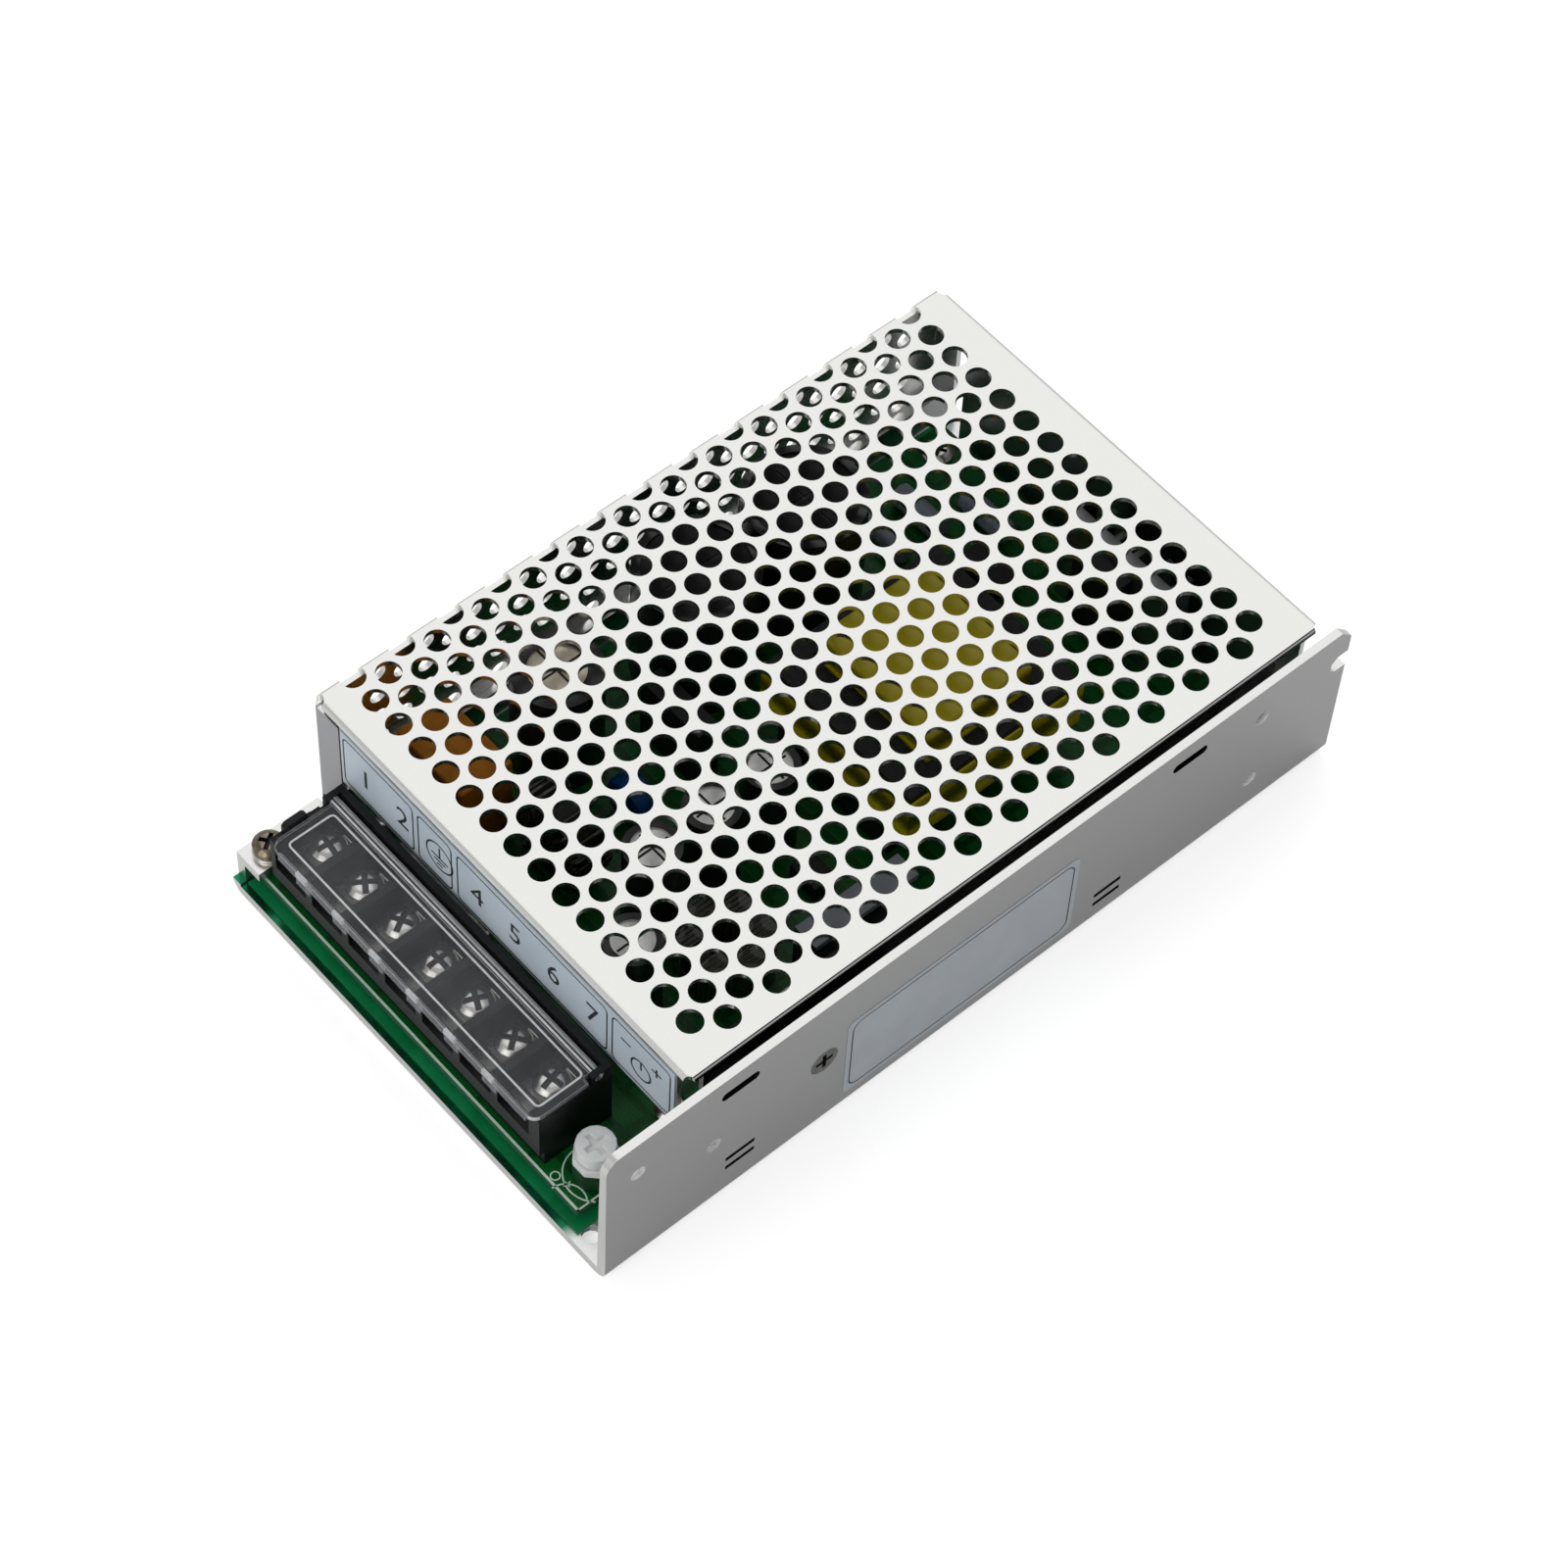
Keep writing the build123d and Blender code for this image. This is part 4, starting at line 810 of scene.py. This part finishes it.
def can_tree():
    """An upright can: sleeve rolled over the rim, and a scored metal top sunk a little below it."""
    n = Nodes("electrolytic_can", Float=("Radius", "Height", "Rim", "Sink", "Score"))
    outline = n.shape("MeshCylinder", {
        "Vertices": 40, "Radius": n["Radius"], "Depth": n["Height"],
    })
    top_z = n.times(n["Height"], 0.5)
    upward = n.above(n.parts(n.shape("InputNormal"))[2], 0.9)
    drawn, top = n.add("GeometryNodeExtrudeMesh", {
        "Mesh": outline, "Selection": upward, "Offset Scale": 0.0,
    }, mode="FACES").outputs[:2]
    shrink = n.maths("DIVIDE", n.maths("SUBTRACT", n["Radius"], n["Rim"]), n["Radius"])
    rim = n.shape("ScaleElements", {"Geometry": drawn, "Selection": top, "Scale": shrink})
    sink = n.times(n["Sink"], -1.0)
    well = n.shape("ExtrudeMesh", {"Mesh": rim, "Selection": top, "Offset Scale": sink}, mode="FACES")
    lift = n.vector(z=n.maths("SUBTRACT", top_z, n["Sink"]))
    carve = n.add("GeometryNodeMeshBoolean", {0: well}, solver="EXACT")
    length = n.times(n["Radius"], 1.3)
    for turn in (0.0, math.pi / 2):
        score = n.shape("MeshCube", {"Size": n.vector(length, n["Score"], n["Score"])})
        n.tree.links.new(n.moved(score, lift, (0, 0, turn)), carve.inputs[1])
    n.end(n.set_at_points(n.moved(carve.outputs[0], n.vector(z=top_z))), "sleeve")
    return n


def make_cans(tree, name, places, radius, height, rim, top):
    """Cans on the board: the sleeve outside, its own finish on the sunk top, painted shade in the score
    lines.
    """
    mesh = run_tree(tree, name, places_mesh([(*place, BOARD_TOP_Z) for place in places]), {
        "Radius": radius * MM, "Height": height * MM, "Rim": rim * radius * MM, "Sink": 0.35 * MM,
        "Score": 0.45 * MM,
    })

    def bare(normal, centre):
        nearest = min(math.dist(place, centre[:2]) for place in places)
        if nearest > radius * (1 - rim) + 0.05 or centre[2] < BOARD_TOP_Z + height - 0.8:
            return 0
        # score lines take the dark finish: painted shade
        return 2 if centre[2] < BOARD_TOP_Z + height - 0.36 else 1

    add_piece(name + "_finished", coat(shade(mesh, 40), bare), ("sleeve", top, "recess"), replaced=[name])


def winding_tree():
    """Turns of round wire laid side by side round part of a ring core whose axis is Y."""
    n = Nodes(
        "ring_winding",
        Float=("Ring Radius", "Reach Out", "Half Length", "Wire", "Start", "Sweep"),
        Int=("Turns",),
        Vector=("Centre",),
    )
    line = n.shape("MeshLine", {"Count": n["Turns"]})
    share = n.maths("DIVIDE", n.shape("InputIndex"), n.maths("SUBTRACT", n["Turns"], 1.0))
    angle = n.maths("ADD", n["Start"], n.times(share, n["Sweep"]))
    place = n.vector(
        x=n.times(n.maths("COSINE", angle), n["Ring Radius"]),
        z=n.times(n.maths("SINE", angle), n["Ring Radius"]),
    )
    spots = n.shape("SetPosition", {"Geometry": line, "Position": place})
    loop = n.shape("CurvePrimitiveQuadrilateral", {
        "Width": n.times(n["Reach Out"], 2.0),
        "Height": n.times(n["Half Length"], 2.0),
    })
    bend = n.times(n["Wire"], 1.5)
    loop = n.shape("FilletCurve", {"Curve": loop, "Count": 3, "Radius": bend}, mode="POLY")
    wire = n.shape("CurvePrimitiveCircle", {"Resolution": 6, "Radius": n["Wire"]})
    turn = n.shape("CurveToMesh", {"Curve": loop, "Profile Curve": wire})
    aim = n.vector(y=n.times(angle, -1.0))
    laid = n.shape("InstanceOnPoints", {"Points": spots, "Instance": turn, "Rotation": aim})
    laid = n.shape("RealizeInstances", {"Geometry": laid})
    n.end(n.moved(laid, n["Centre"]), "copper")
    return n


def make_winding(name, centre, outer, bore, half_length, arcs, finish, wire=0.5):
    """Windings over the named arcs of a ring core, on its outer and inner radius."""
    tree = winding_tree()
    meshes = []
    for start, sweep in arcs:
        meshes.append(run_tree(tree, "arc", places_mesh([(0, 0, 0)]), {
            "Ring Radius": (outer + bore) / 2 * MM, "Reach Out": ((outer - bore) / 2 + wire) * MM,
            "Half Length": (half_length + wire) * MM, "Wire": wire * MM,
            "Turns": int(math.radians(sweep) * bore / (2 * wire)),
            "Start": math.radians(start), "Sweep": math.radians(sweep), "Centre": Vector(centre) * MM,
        }))
    add_piece(name + "_finished", shade(joined(name, meshes), 50), finish, replaced=[name])


# Printed strip, side label and board print

ON_TOP = Matrix.Identity(4)
ON_FRONT = Matrix(((1, 0, 0), (0, 0, -1), (0, 1, 0))).to_4x4()
ON_SIDE = Matrix(((0, 0, 1), (1, 0, 0), (0, 1, 0))).to_4x4()


def laid_on(mesh, facing, origin):
    """Turns a flat mesh, drawn in millimetres in its own plane, onto a face of the object."""
    mesh.transform(Matrix.Translation(Vector(origin) * MM) @ facing @ Matrix.Scale(MM, 4))
    return mesh


def drawn_mesh(name, points, faces):
    mesh = bpy.data.meshes.new(name)
    mesh.from_pydata(points, [], faces)
    return mesh


def rounded_outline(low, high, radius, steps=6):
    """Points round a rectangle with rounded corners."""
    points = []
    turning = ((high[0], high[1]), (low[0], high[1]), (low[0], low[1]), (high[0], low[1]))
    for quarter, (x, y) in enumerate(turning):
        centre_x = x - radius if x == high[0] else x + radius
        centre_y = y - radius if y == high[1] else y + radius
        for step in range(steps + 1):
            angle = math.pi / 2 * (quarter + step / steps)
            points.append((centre_x + radius * math.cos(angle), centre_y + radius * math.sin(angle)))
    return points


def band(outer, inner, height):
    """A flat band between two outlines that have the same number of points."""
    count = len(outer)
    points = [(*point, level) for level in (0, height) for loop in (outer, inner) for point in loop]
    faces = []
    for k in range(count):
        m = (k + 1) % count
        o, i, top_o, top_i = (0, count, 2 * count, 3 * count)
        faces += [
            (top_o + k, top_o + m, top_i + m, top_i + k), (o + m, o + k, i + k, i + m),
            (o + k, o + m, top_o + m, top_o + k), (i + m, i + k, top_i + k, top_i + m),
        ]
    return drawn_mesh("band", points, faces)


def frame_band(low, high, radius, line, height):
    inset_low = (low[0] + line, low[1] + line)
    inset_high = (high[0] - line, high[1] - line)
    inside = rounded_outline(inset_low, inset_high, radius - line)
    return band(rounded_outline(low, high, radius), inside, height)


def ring_band(centre, radius, line, steps=32):
    def circle(r):
        angles = [2 * math.pi * k / steps for k in range(steps)]
        return [(centre[0] + r * math.cos(angle), centre[1] + r * math.sin(angle)) for angle in angles]
    return band(circle(radius), circle(radius - line), INK)


def bar(low, high):
    """A straight printed line between two corners."""
    mesh = block_mesh("bar", (*low, 0), (*high, INK))
    mesh.transform(Matrix.Scale(1 / MM, 4))
    return mesh


def arc_line(centre, radius, start, sweep, line, steps=14):
    """A thin printed arc."""
    def at(r, k):
        angle = math.radians(start + sweep * k / steps)
        return centre[0] + r * math.cos(angle), centre[1] + r * math.sin(angle), INK
    outside = [at(radius + line / 2, k) for k in range(steps + 1)]
    inside = [at(radius - line / 2, k) for k in range(steps + 1)]
    faces = [(k + 1, steps + k + 2, steps + k + 1, k) for k in range(steps)]
    return drawn_mesh("arc", outside + inside, faces)


def numeral(word, size, at):
    """A number or sign drawn flat."""
    drawn = bpy.data.curves.new("numeral", "FONT")
    drawn.body = word
    drawn.size = size
    drawn.align_x = drawn.align_y = "CENTER"
    drawn.extrude = INK / 2
    drawn.resolution_u = 3
    piece = stand("numeral", drawn)
    mesh = evaluated_mesh(piece)
    bpy.data.objects.remove(piece)
    mesh.transform(Matrix.Translation((*at, INK / 2)))
    return mesh


def earth_sign(x):
    """A ring round a stem and three bars that grow shorter downwards."""
    marks = [ring_band((x, SIGN_Z), 3.5, 0.38), bar((x - 0.2, 27.0), (x + 0.2, 29.9))]
    for row, width in enumerate((4.2, 2.8, 1.4)):
        z = 27.0 - 0.95 * row
        marks.append(bar((x - width / 2, z - 0.2), (x + width / 2, z + 0.2)))
    return marks


def make_marking_strip():
    """Pale strip over the terminals: framed fields, a number to each way and an earth sign."""
    low, high = corners("marking_strip")
    strip = block_mesh("strip", low, high)
    add_piece("marking_strip_finished", strip, "print_field", replaced=["marking_strip"])
    marks = [frame_band((x, FIELD_LOW_Z), (far, FIELD_HIGH_Z), 1.3, 0.32, INK) for x, far in FIELDS]
    for way in range(WAYS):
        x = FIRST_WAY_X + WAY_PITCH * way
        marks += earth_sign(x) if way == EARTH_WAY else [numeral(str(way + 1), 6.8, (x, SIGN_Z))]
    # minus, plus and a dial over the adjuster
    marks.append(numeral("+", 5.0, (37.8, 29.4)))
    marks.append(numeral("\u2212", 5.0, (30.4, 29.4)))
    marks.append(ring_band((34.1, 25.9), 2.5, 0.38))
    marks.append(bar((33.9, 25.9), (34.3, 28.2)))
    add_piece("strip_print", laid_on(joined("marks", marks), ON_FRONT, (0, low.y, 0)), "ink")


def make_side_label():
    """Blank silver label on the wall, with one thin frame line near its edge."""
    low, high = corners("side_label")
    outline = rounded_outline((low.y, low.z), (high.y, high.z), 1.5)
    thickness = high.x - low.x - INK
    count = len(outline)
    points = [(*point, level) for level in (0, thickness) for point in outline]
    sides = [(k, (k + 1) % count, count + (k + 1) % count, count + k) for k in range(count)]
    back, front = tuple(reversed(range(count))), tuple(range(count, 2 * count))
    plate = laid_on(drawn_mesh("plate", points, [back, front, *sides]), ON_SIDE, (low.x, 0, 0))
    add_piece("side_label_finished", plate, "label", replaced=["side_label"])
    frame_line = frame_band((low.y + 1.0, low.z + 1.0), (high.y - 1.0, high.z - 1.0), 2.2, 0.26, INK * 0.9)
    add_piece("side_label_line", laid_on(frame_line, ON_SIDE, (high.x - INK, 0, 0)), "ink")


def make_board_print():
    """Pale print on the board: its front border and the arcs round the adjuster."""
    low, high = corners("circuit_board")
    marks = [
        bar((low.x + 0.4, low.y), (high.x, low.y + 0.45)),
        bar((high.x - 0.3, low.y), (high.x, low.y + 5.0)),
        arc_line(ADJUSTER_AT, 5.3, 170, 150, 0.28),
        arc_line((36.2, -77.4), 3.4, 60, 120, 0.28),
        ring_band((31.4, -75.6), 0.9, 0.24, 16),
        bar((33.0, -75.2), (34.4, -75.0)),
        bar((33.6, -75.8), (33.8, -74.4)),
    ]
    add_piece("board_print", laid_on(joined("print", marks), ON_TOP, (0, 0, BOARD_TOP_Z)), "silk")


# Chassis, its clamp screw, and the lid's lugs and painted highlight line

def make_chassis():
    """Chassis with its right wall thinner at the rim, its metal in painted light and painted shade, its
    floor in a painted reflection.
    """
    low, high = corners("chassis")
    inner_x = high.x - WALL
    mesh = eased("chassis", 0)
    with open_mesh(mesh) as bm:
        cut_through(bm, (0, 0, high.z - 3.0), (0, 0, 1))
        cut_through(bm, (0, low.y + 3.0, 0), (0, 1, 0))
        for vertex in bm.verts:
            place = vertex.co / MM
            on_rim = place.z > high.z - 2.5 or (place.y < low.y + 2.5 and place.z > 3.0)
            if abs(place.x - inner_x) < 0.05 and on_rim:
                vertex.co.x += RIM_THINNING * MM
        bevel(bm, sharp_edges(bm), 0.15)

    def face_kind(normal, centre):
        # floor: the painted reflection
        if normal.z > 0.9 and centre.z < 3.0:
            return 2
        from_ends = min(centre.y - low.y, high.y - centre.y)
        on_outline = centre.z > high.z - 1.5 or centre.z < 2.5 or from_ends < 2.5
        # inside the wall's thickness: painted light on the rim and ends, painted shade in the slits,
        # painted light on the hole rims
        if centre.x > inner_x and abs(normal.x) < 0.9:
            if on_outline:
                return 1
            return 4 if any(abs(centre.y - y) < 4.5 and abs(centre.z - z) < 3 for y, z in SLITS) else 3
        # elsewhere: painted light on faces that face up or along y, painted shade on the rest
        return int(normal.z > 0.3 or abs(normal.y) > 0.3)

    kinds = ("painted_shade_wall_sheet", "painted_lit_sheet", "painted_reflection_floor", "painted_lit_hole_rim", "painted_shade_metal")
    add_piece("chassis_finished", coat(shade(mesh), face_kind), kinds, replaced=["chassis"])


def make_clamp_screw():
    """Countersunk head flush in the wall, with a cross recess in painted shade."""
    low, high = corners("clamp_screw")
    x, y, z = high.x, (low.y + high.y) / 2, (low.z + high.z) / 2
    bars = []
    for dy, dz in ((1.75, 0.4), (0.4, 1.75)):
        bars.append(block_mesh("bar", (x - 0.9, y - dy, z - dz), (x + 1, y + dy, z + dz)))
    mesh = carved(eased("clamp_screw", 0), bars)

    def face_kind(normal, centre):
        near = math.dist((y, z), (centre.y, centre.z)) < 2.0
        return int(near and x - 1.0 < centre.x < x - 0.05)

    mesh = coat(shade(mesh), face_kind)
    add_piece("clamp_screw_finished", mesh, ("dull_tin", "recess"), replaced=["clamp_screw"])


def make_lid_details():
    """Painted highlight line on top of the clear lid, and its lugs, both in the white painted-highlight
    finish.
    """
    low, high = corners("terminal_lid")
    line = frame_band((low.x + 3.0, low.y + 2.0), (high.x - 1.4, high.y - 2.6), 1.0, 0.36, INK)
    pieces = [laid_on(line, ON_TOP, (0, 0, LID_TOP_Z))]
    for way in range(WAYS):
        x = FIRST_WAY_X + WAY_PITCH * (way + 0.5) - 0.6
        if x + 1.2 < high.x - 1:
            corner = (x - 1.3, low.y + 0.05, LID_TOP_Z - 2.0)
            pieces.append(block_mesh("lug", corner, (x + 1.3, low.y + 0.65, LID_TOP_Z - 0.9)))
    add_piece("lid_painted_highlight_lines", joined("lines", pieces), "clear_edge", "lid")


# Nodes that keep their form, each with its finish and the width of its eased edges

EASED = {
    "terminal_block": ("black_moulding", 0.2), "terminal_contacts": ("dull_tin", 0.08),
    "insulation_sheet": ("film_sheet", 0), "board_standoffs": ("tinned", 0.1),
    "earth_washer": ("bright_steel", 0.1), "line_fuse": ("fuse_glass", 0.1), "fuse_clips": ("tinned", 0.05),
    "film_capacitor": ("orange_film", 0.5), "inrush_thermistor": ("green_disc", 0.6),
    "line_choke_core": ("ferrite", 0.3), "bridge_rectifier": ("package", 0.3),
    "blue_capacitors": ("blue_disc", 1.0), "transformer_core": ("ferrite", 0.3),
    "transformer_winding": ("tape", 0.8), "transformer_feet": ("package", 0.3),
    "transformer_tape": ("tape", 0.1), "primary_heatsink": ("heatsink", 0.1),
    "switch_transistor": ("package", 0.15), "controller_chip": ("package", 0.1),
    "power_resistors": ("resistor", 0.5), "snubber_capacitor": ("orange_film", 0.4),
    "heat_spreader": ("spreader", 0.2), "thermal_pad": ("pad", 0), "output_rectifiers": ("package", 0.15),
    "clamp_bar": ("heatsink", 0.2), "output_heatsink": ("spreader", 0.1),
    "output_choke_core": ("ferrite", 0.3), "output_choke_winding": ("dark_wire", 0.4),
    "optocoupler": ("package", 0.15),
}


def lid_face(normal, centre):
    # eased edges take the white painted highlight, upright faces the paler side finish
    if max(abs(part) for part in normal) < 0.95:
        return 2
    return int(abs(normal.z) < 0.9)


def board_face(normal, centre):
    return int(abs(normal.z) < 0.5)


def trimmer_shadow_face(normal, centre):
    # the body below the split height takes the dark green: painted shadow
    return int(centre.z < TRIMMER_SHADOW_TOP_Z)


# Floor, light and camera

def add_light(name, direction, distance, size, power):
    """A soft square lamp that looks at the middle of the object."""
    lamp = bpy.data.lights.new(name, "AREA")
    lamp.size = size
    lamp.energy = power
    placed = stand(name, lamp)
    placed.location = Vector(direction).normalized() * distance
    placed.rotation_euler = Vector(direction).to_track_quat("Z", "Y").to_euler()


def make_studio():
    """A white floor that keeps the shadow, a pale world and two soft lamps."""
    mesh = bpy.data.meshes.new("floor")
    with open_mesh(mesh) as bm:
        bmesh.ops.create_grid(bm, x_segments=1, y_segments=1, size=4)
    floor = stand("floor", mesh)
    floor.location.z = -0.0002
    pale = Finish("pale_floor", 0.0, Emission_Color=(1, 1, 1, 1))
    pale.shader.inputs["Base Color"].default_value = screen(250, 250, 250)
    pale.shader.inputs["Roughness"].default_value = 0.9
    path = pale.node("ShaderNodeLightPath")
    lift = pale.node("ShaderNodeMath", operation="MULTIPLY")
    lift.inputs[1].default_value = 0.5
    seen = pale.greater(path.outputs["Is Camera Ray"], path.outputs["Is Transmission Ray"])
    pale.link(seen, lift.inputs[0])
    pale.link(lift.outputs[0], pale.shader.inputs["Emission Strength"])
    mesh.materials.append(pale.material)
    world = bpy.data.worlds.new("studio")
    world.use_nodes = True
    world.node_tree.nodes["Background"].inputs["Color"].default_value = (1, 1, 1, 1)
    world.node_tree.nodes["Background"].inputs["Strength"].default_value = 0.5
    bpy.context.scene.world = world
    add_light("top_softbox", (-0.403, 0.391, 0.827), 1.0, 1.1, 1.8)
    add_light("front_fill", (0.1, -1.0, 0.75), 1.2, 0.7, 2.2)


def make_camera():
    camera = stand("camera", bpy.data.cameras.new("camera"))
    camera.data.lens = 106.03
    camera.location = (0.30873, -0.30038, 0.64400)
    camera.rotation_euler = Euler((math.radians(34.100), math.radians(-2.176), math.radians(49.077)))
    bpy.context.scene.camera = camera


# The whole supply

make_cover()
make_marking_strip()
make_side_label()
make_board_print()
make_all_screws()
cans = can_tree()
make_cans(cans, "primary_capacitor", [(-31.0, -24.0)], 8.0, 24.0, 0.37, "warm_can")
make_cans(cans, "bulk_capacitors", [(-30.6, 5.5), (-30.6, 29.0)], 11.0, 27.0, 0.14, "dark_can")
output_cans = [(4.0, -33.0), (4.0, -20.5), (4.0, -8.0), (15.4, -46.6)]
make_cans(cans, "output_capacitors", output_cans, 5.0, 21.0, 0.26, "can")
choke_arcs = ((-68, 136), (112, 136))
make_winding("line_choke_windings", (-13.5, -37.5, 15.4), 8.0, 4.4, 3.25, choke_arcs, "dark_wire")
make_chassis()
make_clamp_screw()
make_lid_details()
for node, (finish, width) in EASED.items():
    refined(node, finish, width)
refined("circuit_board", ("board", "board_edge"), 0, choose=board_face)
refined("terminal_lid", ("clear", "clear_side", "clear_edge"), 0.2, "lid", lid_face)
refined("trimmer_rotor", "nylon", 0.35, "adjuster")
refined("trimmer_body", ("nylon", "painted_shadow_trimmer_foot"), 0.25, choose=trimmer_shadow_face, split_z=TRIMMER_SHADOW_TOP_Z)

make_studio()
make_camera()
bpy.context.scene.view_settings.view_transform = "Standard"
